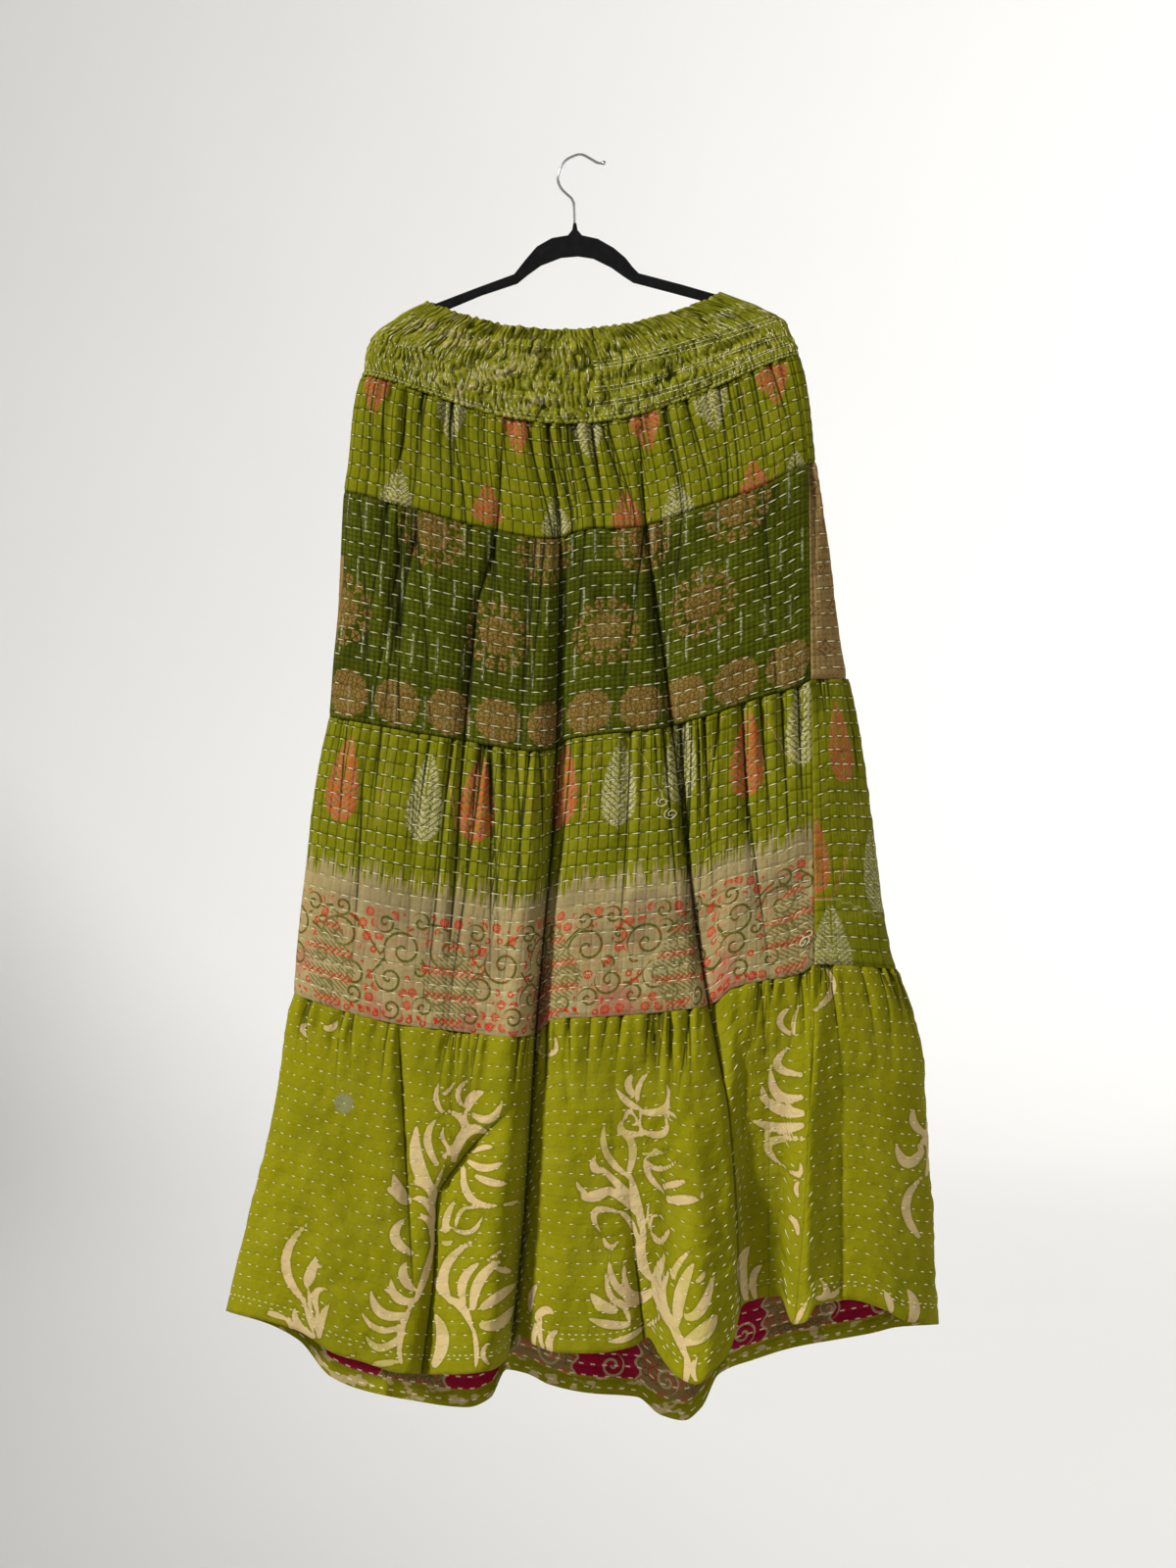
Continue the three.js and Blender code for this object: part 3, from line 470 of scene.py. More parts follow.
class Cloth:
    """One sewn piece as a grid: rows go down it and columns across it."""

    def __init__(self, side, tier):
        self.side, self.tier = side, tier

    def place(self, down, column, own=0.0):
        """Draped points and directions for arrays of shares down and column numbers."""
        share_of, last = (front_share, np.inf) if self.side == "front" else (back_share, WRAP_COLUMNS)
        facing = np.where(column <= last, -1.0, 1.0)
        return drape(self.tier, down, share_of(self.tier, down, column), facing, column, own)

    def lay_out(self, step):
        """Sets columns an even distance apart, measured level across the cloth at the width level.

        The rows are farther apart than the columns, because most of the relief runs down the cloth.
        """
        dense = np.linspace(0, LAST_COLUMN[self.side], 6000)
        points = to_depth(self.place(np.full_like(dense, WIDTH_LEVEL), dense)[0])
        moved = np.hypot(*np.diff(points[:, :2], axis=0).T)
        length = np.concatenate([[0], np.cumsum(moved)])
        self.width = length[-1]
        self.u = np.linspace(0, self.width, int(self.width / step) + 1)
        self.columns = np.interp(self.u, length, dense)
        rough = to_depth(self.place(np.linspace(0, 1, 40)[:, None], self.columns[None, :])[0])
        self.length = float(np.median(np.linalg.norm(np.diff(rough, axis=0), axis=-1).sum(0)))
        self.down = np.linspace(0, 1, int(self.length / (ROW_STRETCH * step)) + 1)
        self.v = self.down * self.length

    def pleats(self):
        """Sharp pleats below the seam: narrow troughs beside low ridges, slanting and fading downwards."""
        count, shortest, longest, least, most = PLEATS[self.tier]
        random = np.random.default_rng(70 + 3 * self.tier + len(self.side))
        u, v = self.u[None, :], self.v[:, None]
        relief = 0 * u * v
        # Lines of painted crease shade along the bottoms of the pleats: signed distance, distance and
        # strength of the nearest
        self.line = np.stack([relief + 99, relief + 99, relief], -1)
        for _ in range(int(count * self.width / PLEAT_SPAN)):
            middle = random.uniform(5, self.width - 5) + random.uniform(-0.13, 0.13) * v
            half = random.uniform(2.4, 5.4) * (1 + v / 260)
            long = self.length * random.uniform(shortest, longest)
            depth = random.uniform(least, most)
            away = (u - middle) / half
            trough = np.exp(-(np.abs(away) ** 1.25)) - 0.55 * np.exp(-((away - 1.9) ** 2) / 1.6)
            shown = np.exp(-((v / long) ** 2))
            relief -= depth * trough * shown
            self.draw(u - middle, depth / most * shown)
        return relief

    def draw(self, away, strength):
        """Keeps, for each point, the nearest line of painted crease shade: signed distance, distance and
        strength.
        """
        line = np.stack(np.broadcast_arrays(away, np.abs(away), strength), -1)
        nearer = (line[..., 1] < self.line[..., 1]) & (line[..., 2] > 0.08)
        self.line[nearer] = line[nearer]

    def draw_fold_shade(self, across, height):
        """Adds the bottoms of the front's narrow troughs to the lines of painted crease shade."""
        for rows in FRONT_FOLDS.values():
            middle, width, depth, begun = track(rows, height)
            self.draw(across - middle, np.clip(depth / 9, 0, 1) * begun * (width < FLAT_FROM))

    def relief(self):
        """Own relief: pinched seams, puckers between rows of stitching, and soft wrinkles."""
        u, v = self.u[None, :], self.v[:, None]
        row_pitch, wrinkle = ROW_PITCH[self.tier], WRINKLES[self.tier]
        points = self.place(self.down[:, None], self.columns[None, :])[0]
        foot = (self.length, 1.1, 3.5) if self.tier < 4 else (HEM_SHARE * self.length, 0.7, 2.6)
        pinch = sum(
            depth * np.exp(-(((v - height) / reach) ** 2)) for height, depth, reach in ((0, 0.9, 3.5), foot)
        )
        pucker = 0.55 * np.abs(np.sin(math.pi * v / row_pitch)) ** 0.7 * (0.75 + 0.4 * waves(u, v, 3, 60))
        soft = wrinkle * waves(u, 0.55 * v, 11 * self.tier + len(self.side), 74)
        small = 0.45 * wrinkle * waves(u, v, 5 * self.tier, 31)
        ends = np.clip(np.minimum(self.u, self.width - self.u) / 6, 0, 1)[None, :]
        pleats = self.pleats()
        creases = 0
        if self.side == "front":
            creases = crease_relief(points[..., 0], points[..., 2])
            self.draw_fold_shade(points[..., 0], points[..., 2])
        return (pucker + soft + small + creases + pleats) * ends - pinch

    def weave(self, step, wall):
        """Fills in the grid: outer and inner points in millimetres, and how they look in the plane."""
        self.lay_out(step)
        own = self.relief()
        points, out = self.place(self.down[:, None], self.columns[None, :], own)
        thick = np.full(own.shape, float(wall))
        if self.tier == 4:
            thick += HEM_THICKER * np.clip((self.down[:, None] - HEM_SHARE) / 0.01 + 1, 0, 1)
        self.plane = points[..., (0, 2)]
        self.outer = to_depth(points)
        self.inner = to_depth(points - thick[..., None] * out)
        return self

    def at(self, u, v):
        """Points and outward directions on the outer face for arrays of places on the flat cloth."""
        rows, columns = len(self.v) - 1, len(self.u) - 1
        row = np.clip(v / self.length * rows, 0, rows - 1e-6)
        column = np.clip(u / self.width * columns, 0, columns - 1e-6)
        i, j = row.astype(int), column.astype(int)
        s, t = (row - i)[..., None], (column - j)[..., None]
        a, b, c, d = (self.outer[i + x, j + y] for x, y in ((0, 0), (0, 1), (1, 0), (1, 1)))
        point = (a * (1 - t) + b * t) * (1 - s) + (c * (1 - t) + d * t) * s
        over = (b - a) * (1 - s) + (d - c) * s
        below = (c - a) * (1 - t) + (d - b) * t
        normal = np.cross(below, over)
        return point, normal / np.maximum(np.linalg.norm(normal, axis=-1, keepdims=True), 1e-9)

    def flat_place(self, across, height, end=None):
        """Place on the flat cloth, in millimetres, that looks nearest to a point of the plane.

        Only the part before the grid's end column is looked at, where one is given.
        """
        plane = self.plane[:, :end]
        away = np.hypot(plane[..., 0] - across, plane[..., 1] - height)
        row, column = np.unravel_index(np.argmin(away), away.shape)
        return self.u[column], self.v[row]


def add_mesh(name, points, faces, parts=None, uv=None, attributes=None):
    """New object at the origin from arrays: points in millimetres, faces as rows of corner numbers."""
    mesh = bpy.data.meshes.new(name)
    corners = faces.shape[1]
    mesh.vertices.add(len(points))
    mesh.vertices.foreach_set("co", (np.asarray(points) * MM).astype(np.float32).ravel())
    mesh.loops.add(faces.size)
    mesh.loops.foreach_set("vertex_index", faces.astype(np.int32).ravel())
    mesh.polygons.add(len(faces))
    mesh.polygons.foreach_set("loop_start", np.arange(0, faces.size, corners, dtype=np.int32))
    if parts is not None:
        mesh.polygons.foreach_set("material_index", parts.astype(np.int32))
    if uv is not None:
        layer = mesh.uv_layers.new(name="Cloth")
        layer.data.foreach_set("uv", uv[faces.ravel()].astype(np.float32).ravel())
    for label, values in (attributes or {}).items():
        kind, field = ("FLOAT_VECTOR", "vector") if values.ndim == 2 else ("FLOAT", "value")
        held = mesh.attributes.new(label, kind, "POINT")
        held.data.foreach_set(field, values.astype(np.float32).ravel())
    mesh.update(calc_edges=True)
    mesh.shade_smooth()
    thing = bpy.data.objects.new(name, mesh)
    bpy.context.scene.collection.objects.link(thing)
    return thing


def grid_faces(rows, columns, closed=False):
    """Corner numbers of the quads of a grid, facing its viewer when rows go down and columns right."""
    over = columns if closed else columns - 1
    row, column = np.meshgrid(np.arange(rows - 1), np.arange(over), indexing="ij")
    a = (row * columns + column).ravel()
    b = (row * columns + (column + 1) % columns).ravel()
    return np.stack([a, a + columns, b + columns, b], 1)


def two_sided(name, cloth, attributes=None, closed=False):
    """Closed object from a piece's outer and inner grids. Face part 1 is the reverse of the cloth."""
    rows, columns = cloth.outer.shape[:2]
    outer = grid_faces(rows, columns, closed)
    offset = rows * columns
    inner = outer[:, ::-1] + offset
    over = np.arange(columns if closed else columns - 1)
    nxt = (over + 1) % columns
    low = (rows - 1) * columns
    rims = [
        np.stack([over, nxt, nxt + offset, over + offset], 1),
        np.stack([low + over, low + over + offset, low + nxt + offset, low + nxt], 1),
    ]
    if not closed:
        start = np.arange(rows - 1) * columns
        end = start + columns - 1
        rims.append(np.stack([start, start + offset, start + offset + columns, start + columns], 1))
        rims.append(np.stack([end, end + columns, end + offset + columns, end + offset], 1))
    faces = np.concatenate([outer, inner, *rims])
    parts = np.zeros(len(faces), int)
    parts[len(outer) : 2 * len(outer)] = 1
    v, u = np.meshgrid(cloth.v, cloth.u, indexing="ij")
    flat = np.stack([u.ravel(), v.ravel()], 1) * MM
    points = np.concatenate([cloth.outer.reshape(-1, 3), cloth.inner.reshape(-1, 3)])
    doubled = {label: np.concatenate([values, values]) for label, values in (attributes or {}).items()}
    return add_mesh(name, points, faces, parts, np.concatenate([flat, flat]), doubled)


class Band:
    """The smocked waistband as closed grids: ribs raised on its outside and pinched by rows of elastic."""

    RIBS = 136
    RIB_HEIGHT = 4.3
    # Shares of the way down of the rows of elastic
    ELASTIC = (0.13, 0.27, 0.41, 0.55, 0.69, 0.83, 0.955)

    def __init__(self, columns_a_rib, rows):
        count = self.RIBS * columns_a_rib
        self.step = np.arange(count) / count
        self.down = np.linspace(0, 1, rows)
        plain = to_depth(self.place(self.down[:, None], self.step[None, :], 0.0)[0])
        self.length = float(np.median(np.linalg.norm(np.diff(plain, axis=0), axis=-1).sum(0)))
        around = np.linalg.norm(np.diff(plain[-1], axis=0, append=plain[-1][:1]), axis=-1)
        self.u = np.concatenate([[0], np.cumsum(around)[:-1]])
        self.width = float(around.sum())
        self.v = self.down * self.length

    @staticmethod
    def place(down, step, own):
        """Draped points round the ring: the front from left to right, then the back."""
        front = step < 0.5
        across = np.where(front, step, step - 0.5) * 2
        straight = 2 * across - 1
        share = straight - (np.cos(math.pi * across) + straight) * BAND_CROWDING
        facing = np.where(front, -1.0, 1.0)
        return drape(0, down, share * -facing, facing, step * 0, own)

    def swell(self, down):
        """How far the puckers stand out: little on each row of elastic, most midway between rows."""
        away = np.min([np.abs(down - row) for row in self.ELASTIC], axis=0)
        return 0.3 + 0.7 * np.clip(away / 0.055, 0, 1) ** 0.8

    def weave(self):
        """Fills in the grid with ribs, uneven from each to the next and between the rows of elastic."""
        random = np.random.default_rng(8)
        down, step = self.down[:, None], self.step[None, :]
        block = np.searchsorted(self.ELASTIC, self.down)
        shift = random.uniform(-0.48, 0.48, (len(self.ELASTIC) + 1, self.RIBS))
        tall = random.uniform(0.35, 1.45, (len(self.ELASTIC) + 1, self.RIBS))
        rib = self.step * self.RIBS
        whole, part = np.floor(rib).astype(int), rib % 1
        blend = part * part * (3 - 2 * part)
        nxt = (whole + 1) % self.RIBS
        moved, amount = (
            values[block][:, whole] * (1 - blend) + values[block][:, nxt] * blend for values in (shift, tall)
        )
        flat = self.u[None, :], self.v[:, None]
        moved = moved + 0.9 * waves(flat[0], 1.3 * flat[1], 24, 44) + 0.3 * waves(*flat, 25, 17)
        amount = amount * np.clip(1 + 0.7 * waves(*flat, 26, 30), 0.25, 1.8)
        ridge = np.abs(np.cos(math.pi * (rib[None, :] + moved))) ** 1.3
        sway = 0.25 * np.sin(TURN * self.RIBS / 7 * step + 9 * down)
        relief = self.RIB_HEIGHT * amount * ridge * self.swell(down) * (1 + sway)
        # How hollow each point is: the waistband's colour uses it for painted shade in the hollows and a
        # painted highlight on the ridges
        self.hollow = np.clip(1 - ridge * (0.45 + 0.55 * self.swell(down)), 0, 1)
        frill = np.clip(1 - down / self.ELASTIC[0], 0, 1)
        relief = relief + frill * (2.2 * waves(self.u[None, :], 0 * down, 28, 17) + 0.8)
        crumple = 2.9 * waves(self.u[None, :], self.v[:, None] * 1.4, 21, 46)
        crumple += 1.5 * waves(self.u[None, :], self.v[:, None] * 0.8, 22, 22)
        ends = 0.35 + 0.65 * np.abs(np.sin(TURN * step))
        points, _ = self.place(down, step, (relief + crumple) * ends)
        points[..., 2] += frill * 1.7 * waves(self.u[None, :], 0 * down, 27, 13)
        self.outer = to_depth(points)
        plain, out = self.place(down, step, 0.0)
        plain[..., 2] = points[..., 2]
        self.inner = to_depth(plain - BAND_WALL * out)
        return self

    at = Cloth.at


def stitch_mesh(name, cloth, starts, heights, lengths, width, tall, upright=None):
    """One object of many stitches: each a thin bar of thread that comes out of the cloth and goes back in.

    The arrays give where each starts, its height and length on the flat cloth, in millimetres. A stitch
    runs across the cloth, or down it where upright is one.
    """
    count, stations = len(starts), 4
    t = np.linspace(0, 1, stations)[None, :]
    upright = np.zeros(count) if upright is None else upright
    u = starts[:, None] + lengths[:, None] * t * (1 - upright[:, None])
    v = heights[:, None] + lengths[:, None] * t * upright[:, None]
    middle, normal = cloth.at(u, v)
    along = np.gradient(middle, axis=1)
    along /= np.maximum(np.linalg.norm(along, axis=-1, keepdims=True), 1e-9)
    side = np.cross(normal, along)
    lift = np.array([-0.35, 0.1, 0.1, -0.35])[None, :, None]
    spread = np.array([0.3, 0.5, 0.5, 0.3])[None, :, None] * width
    middle = middle + normal * lift
    corners = np.stack([middle - side * spread, middle + normal * tall, middle + side * spread], 2)
    points = corners.reshape(-1, 3)
    base = (np.arange(count) * stations * 3)[:, None, None]
    ring = (np.arange(stations - 1) * 3)[None, :, None]
    quads = []
    for a, b in ((0, 1), (1, 2), (2, 0)):
        quads.append(base + ring + np.array([a, b, b + 3, a + 3])[None, None, :])
    faces = np.concatenate(quads, 1).reshape(-1, 4)
    first = base[:, 0, :] + np.array([0, 2, 1, 1])[None, :]
    last = base[:, 0, :] + (stations - 1) * 3 + np.array([0, 1, 2, 2])[None, :]
    triangles = np.concatenate([first, last])[:, :3]
    whole = np.concatenate([faces[:, [0, 1, 2]], faces[:, [0, 2, 3]], triangles])
    return add_mesh(name, points, whole)


def stitch_rows(cloth, seed):
    """Starts, heights and lengths of rows of running stitch across a piece, a little uneven by hand."""
    random = np.random.default_rng(seed)
    pitch, length, shift = STITCHING[cloth.tier]
    starts, heights, lengths = [], [], []
    margin = 4
    rows = np.arange(FIRST_ROW, cloth.length - margin, ROW_PITCH[cloth.tier])
    for number, height in enumerate(rows):
        offset = random.uniform(0, pitch) if shift is None else (shift * number) % pitch
        places = np.arange(margin + offset, cloth.width - length - margin, pitch)
        places = places + random.uniform(-0.1, 0.1, len(places)) * pitch
        places = places[random.uniform(0, 1, len(places)) > LEFT_OUT]
        long = length * random.uniform(0.72, 1.22, len(places))
        drift = 0.9 * np.sin(places / 61 + number) + random.normal(0, 0.25, len(places))
        keep = places + long < cloth.width - 3
        starts.append(places[keep])
        lengths.append(long[keep])
        heights.append(np.clip(height + drift, 1.5, cloth.length - 1.5)[keep])
    return np.concatenate(starts), np.concatenate(heights), np.concatenate(lengths)


def leaf_field(across, height):
    """Signed distance to the nearest painted leaf, negative inside it, in millimetres.

    A leaf is the union of discs along the parabola through its base, middle and tip. They are largest
    two fifths of the way along, nearly three quarters of its half width, and end in a point at the tip.
    """
    best = np.full(across.shape, 12.0)
    reach = 14
    t = np.linspace(0, 1, 19)
    for x0, z0, x1, z1, x2, z2, half in LEAVES:
        xs, zs = (
            base * (1 - t) * (1 - 2 * t) + middle * 4 * t * (1 - t) + tip * t * (2 * t - 1)
            for base, middle, tip in ((x0, x1, x2), (z0, z1, z2))
        )
        radius = half * (0.4 + 1.95 * t) * (1 - t) ** 0.95 + 0.4
        near = (across > xs.min() - reach) & (across < xs.max() + reach)
        near &= (height > zs.min() - reach) & (height < zs.max() + reach)
        if near.any():
            away = np.hypot(across[near][:, None] - xs[None, :], height[near][:, None] - zs[None, :])
            best[near] = np.minimum(best[near], (away - radius[None, :]).min(1))
    return best


def tube(name, route, radii, sides, material):
    """Round bar along points in millimetres, with a radius at each."""
    middle = np.array(route, float)
    along = np.gradient(middle, axis=0)
    along /= np.linalg.norm(along, axis=1, keepdims=True)
    level = np.tile([0.0, 1.0, 0.0], (len(middle), 1))
    across = np.cross(along, level)
    angle = np.arange(sides) * TURN / sides
    ring = across[:, None, :] * np.cos(angle)[None, :, None]
    ring = ring + level[:, None, :] * np.sin(angle)[None, :, None]
    points = (middle[:, None, :] + ring * np.asarray(radii)[:, None, None]).reshape(-1, 3)
    faces = grid_faces(len(middle), sides, closed=True)[:, ::-1]
    thing = add_mesh(name, points, faces)
    thing.data.materials.append(material)
    return thing


def smooth_route(rows, count):
    """Points an even distance apart on a curve through rows of across and height, on the hanger's plane."""
    points = np.array(rows, float)
    steps = np.concatenate([[0], np.cumsum(np.hypot(*np.diff(points, axis=0).T))])
    fine = np.linspace(0, steps[-1], count)
    columns = [read({"at": steps, "value": points[:, k]}, "at", "value", fine) for k in (0, 1)]
    return np.stack([columns[0], 0 * fine, columns[1]], 1)


def unwrap(value):
    """The socket behind a signal, or the plain value."""
    return value.socket if isinstance(value, Signal) else value


class Signal:
    """One output of a shader node, with arithmetic that adds Math nodes."""

    def __init__(self, graph, socket):
        self.graph, self.socket = graph, socket

    def __rsub__(self, other):
        return self.graph.add("ShaderNodeMath", {"operation": "SUBTRACT"}, [other, self])

    def smooth(self, low, high):
        """0 at low and 1 at high with eased ends, or the other way round where low is above high."""
        return self.graph.add(
            "ShaderNodeMapRange",
            {"interpolation_type": "SMOOTHSTEP"},
            {"Value": self, "From Min": low, "From Max": high},
        )

    def line(self, pitch, offset=0.0):
        """Distance to the nearest of evenly spaced lines."""
        return abs(((self - offset) / pitch + 0.5).fract() - 0.5) * pitch


def math_method(operation):
    """A method that adds the Math node of that operation to the signal's graph."""
    return lambda self, *others: self.graph.add("ShaderNodeMath", {"operation": operation}, [self, *others])


# The operations that a signal has as methods, each with the names of its methods
for row in (
    "ADD __add__ __radd__", "SUBTRACT __sub__", "MULTIPLY __mul__ __rmul__", "DIVIDE __truediv__",
    "POWER __pow__", "ABSOLUTE __abs__", "FLOOR floor", "FRACT fract", "SINE sin", "COSINE cos",
    "MINIMUM least", "MAXIMUM most",
):
    operation, *method_names = row.split()
    for method_name in method_names:
        setattr(Signal, method_name, math_method(operation))


class Graph:
    """A material and its nodes. Each node is added by one method, settings first and then sockets."""

    def __init__(self, name):
        self.material = bpy.data.materials.new(name)
        self.material.use_nodes = True
        self.tree = self.material.node_tree
        self.tree.nodes.clear()

    def add(self, kind, settings, inputs, output=0):
        node = self.tree.nodes.new(kind)
        for label, value in settings.items():
            setattr(node, label, value)
        pairs = inputs.items() if isinstance(inputs, dict) else enumerate(inputs)
        for label, value in pairs:
            value = unwrap(value)
            if isinstance(value, bpy.types.NodeSocket):
                self.tree.links.new(value, node.inputs[label])
            else:
                node.inputs[label].default_value = value
        return Signal(self, node.outputs[output]) if len(node.outputs) else None

    def parts(self, vector, count):
        """The first numbers of a vector, as separate signals."""
        return [self.add("ShaderNodeSeparateXYZ", {}, [vector], axis) for axis in range(count)]

    def millimetres(self, vector, count):
        """The first numbers of a vector in metres, as separate signals in millimetres."""
        scaled = self.add("ShaderNodeVectorMath", {"operation": "SCALE"}, {0: vector, "Scale": 1 / MM})
        return self.parts(scaled, count)

    def object_place(self):
        """Object coordinates in millimetres."""
        return self.millimetres(self.add("ShaderNodeTexCoord", {}, {}, 3), 3)

    def number(self, name):
        """A number kept on the mesh."""
        return self.add("ShaderNodeAttribute", {"attribute_name": name}, {}, 2)

    def vector(self, name):
        """The three numbers of a vector kept on the mesh, as separate signals."""
        return self.parts(self.add("ShaderNodeAttribute", {"attribute_name": name}, {}, 1), 3)

    def join(self, x, y, z=0.0):
        return self.add("ShaderNodeCombineXYZ", {}, [x, y, z])

    def noise(self, x, y, size, detail=2.0, z=0.0, rough=0.55):
        """Noise with features of about that size in millimetres, around one half."""
        vector = self.join(x / size, y / size, z)
        return self.add(
            "ShaderNodeTexNoise", {}, {"Vector": vector, "Scale": 1.0, "Detail": detail, "Roughness": rough}
        )

    def crackle(self, x, y, size):
        """Distance to the edges between irregular cells of about that size, in cells."""
        return self.add(
            "ShaderNodeTexVoronoi",
            {"feature": "DISTANCE_TO_EDGE", "voronoi_dimensions": "2D"},
            {"Vector": self.join(x / size, y / size), "Scale": 1.0},
        )

    def cells(self, x, y, across, down, shift=0.0):
        """Places within the cells of a grid from their middles, and three random numbers for each cell.

        Every second row is moved across by the given share of a cell.
        """
        row = (y / down).floor()
        moved = x / across + (row * 0.5).fract() * 2 * shift
        column = moved.floor()
        local_x = (moved - column - 0.5) * across
        local_y = (y / down - row - 0.5) * down
        colour = self.add(
            "ShaderNodeTexWhiteNoise", {"noise_dimensions": "2D"}, {"Vector": self.join(column, row)}, 1
        )
        random = [self.add("ShaderNodeSeparateColor", {}, [colour], part) for part in range(3)]
        return local_x, local_y, random

    def mix(self, factor, first, second):
        """Colour from first to second by a factor."""
        return self.add("ShaderNodeMix", {"data_type": "RGBA"}, {0: factor, 6: first, 7: second}, 2)

    def finish(self, colour, relief, roughness=0.88, sheen=0.0, sheen_tint=(1, 1, 1, 1), specular=0.05):
        """Principled surface of that colour, with a relief in millimetres."""
        normal = self.add("ShaderNodeBump", {}, {"Strength": 1.0, "Distance": MM, "Height": relief})
        surface = self.add(
            "ShaderNodeBsdfPrincipled",
            {},
            {
                "Base Color": colour,
                "Roughness": roughness,
                "Sheen Weight": sheen,
                "Sheen Roughness": 0.5,
                "Sheen Tint": sheen_tint,
                "Specular IOR Level": specular,
                "Normal": normal,
            },
        )
        self.add("ShaderNodeOutputMaterial", {}, {"Surface": surface})
        return self.material


def cloth_graph(name):
    """A new material, and its place on the flat cloth in millimetres."""
    graph = Graph(name)
    metres = graph.add("ShaderNodeUVMap", {"uv_map": "Cloth"}, {})
    return graph, *graph.millimetres(metres, 2)


def polar(graph, x, y):
    """Distance from the middle and angle round it."""
    return (x * x + y * y) ** 0.5, graph.add("ShaderNodeMath", {"operation": "ARCTAN2"}, [y, x])


def worn(graph, u, v, colour, pale, amount=0.3):
    """Cotton that has been washed often: cloudy fading, slubs along both threads, and faint streaks."""
    cloud = graph.noise(u, v, 46, 4.0).smooth(0.42, 0.72) * amount
    slub = graph.noise(u * 0.22, v, 1.1, 2.0).smooth(0.3, 0.75) * 0.2
    streak = graph.noise(u, v * 0.1, 2.2, 2.0, 3.0).smooth(0.45, 0.8) * 0.2
    return graph.mix((cloud + slub + streak).least(1.0), colour, pale)


def cotton_relief(graph, u, v, row_pitch, column_pitch=0.0):
    """Weave, slubs, crumples, and the furrows that stitching pulls into layered cotton, in millimetres.

    Furrows run along the rows of running stitch, and upright where column_pitch isn't zero.
    """
    threads = TURN / 0.9
    weave = (u * threads).sin() * (v * threads).sin() * 0.03
    slub = graph.noise(u, v, 1.6, 3.0, 1.0) * 0.12
    crumple = graph.noise(u, v, 9.0, 3.0, 2.0) * 1.3
    uneven = graph.noise(u, v, 5.0, 1.0, 5.0)
    relief = weave + slub + crumple - v.line(row_pitch, FIRST_ROW).smooth(3.6, 0.0) * (uneven * 0.8 + 0.35)
    if column_pitch:
        relief = relief - u.line(column_pitch).smooth(2.6, 0.0) * (uneven * 0.5 + 0.1)
    return relief


# Colour of the deepest shadow between folds, and the sheen of cotton
SHADOW = (0.012, 0.014, 0.003, 1)
COTTON_SHEEN = 0.03


def with_crease_shade(graph, base, strength=0.85):
    """The colour darkened to shadow along the bottoms of the pleats and narrow folds."""
    signed, away, shown = graph.vector("line")
    line = abs(signed).smooth(1.9, 0.4) * away.smooth(3.8, 2.6) * shown.smooth(0.0, 0.55)
    return graph.mix(line * strength, base, SHADOW)


def sewn_cotton(graph, u, v, base, row_pitch, column_pitch):
    """The finished material of a cotton with painted shade along its pleats and narrow folds, and the
    furrows of its stitching.
    """
    relief = cotton_relief(graph, u, v, row_pitch, column_pitch)
    return graph.finish(with_crease_shade(graph, base), relief, sheen=COTTON_SHEEN)


def feather(graph, x, y, half_width, half_height, pitch, taper=0.7, foot=3.0):
    """Mask of a block-printed feather: an oval that narrows upwards, cut into herringbone strokes.

    A taper of one gives it straight sides, and a greater foot a flatter base.
    """
    t = (y / (-2 * half_height) + 0.5).most(0.0).least(1.0)
    edge = (t**taper) * ((1.0 - t**foot).most(0.0) ** 0.5) * (1.3 * half_width)
    ragged = (graph.noise(x, y, 3.0, 2.0, 4.0) - 0.5) * 5
    inside = (abs(x) + ragged - edge).smooth(1.2, -1.2)
    rows = (y - abs(x) * 1.3 + ragged * 0.3).line(pitch).smooth(0.08 * pitch, 0.2 * pitch)
    spine = abs(x).smooth(0.5, 1.1).most(y.smooth(0.0, -3.0))
    chips = graph.noise(x, y, 2.0, 2.0, 4.0).smooth(0.4, 0.5)
    return inside * rows * spine * chips


def grid_lines(graph, u, v, pitch, width=0.5):
    """Thin upright lines of darker thread, drifting a little."""
    drift = graph.noise(u * 0.1, v, 60, 1.0, 7.0) * 3
    return (u + drift).line(pitch).smooth(width + 0.5, width - 0.2)


def lime_ground(graph, u, v, colours, fading, pitch, upright, rows, far=1.5, near=0.5):
    """Worn lime cotton with darker upright threads, and painted shade along the furrows of its rows of
    stitching.
    """
    base = worn(graph, u, v, colours.lime, colours.lime_pale, fading)
    base = graph.mix(grid_lines(graph, u, v, pitch) * upright, base, colours.lime_deep)
    # Painted shade along the furrows of the rows of stitching
    furrows = v.line(ROW_PITCH[1], FIRST_ROW).smooth(far, near)
    return graph.mix(furrows * rows, base, colours.lime_deep)


# Pitch of a feather's strokes that is too wide to cut it
UNCUT = 400.0


def motif_place(graph):
    """Place beside the nearest motif, its tint, and whether there is one."""
    x, y, tint = graph.vector("motif")
    return x, y, tint, tint.smooth(-0.6, -0.4)


def block_printed(graph, base, colours, size, pitch, shape=(), blotch=8, ghost=0.6, share=0.95):
    """The colour with a block-printed feather at each motif, pink with red blotches or grey.

    Size is the feather's half width and half height, pitch the distance between its strokes, ghost how
    much ink shows between them and share how much on them.
    """
    x, y, tint, shown = motif_place(graph)
    blotches = graph.noise(x, y, blotch, 2.0, 9.0).smooth(0.45, 0.62)
    pink = graph.mix(blotches, colours.print_pink, colours.print_red)
    ink = graph.mix(tint.smooth(0.4, 0.6), colours.print_grey, pink)
    if ghost:
        whole = feather(graph, x, y, *size, UNCUT, *shape) * shown
        base = graph.mix(whole * ghost, base, graph.mix(0.45, ink, colours.lime_deep))
    return graph.mix(feather(graph, x, y, *size, pitch, *shape) * shown * share, base, ink)


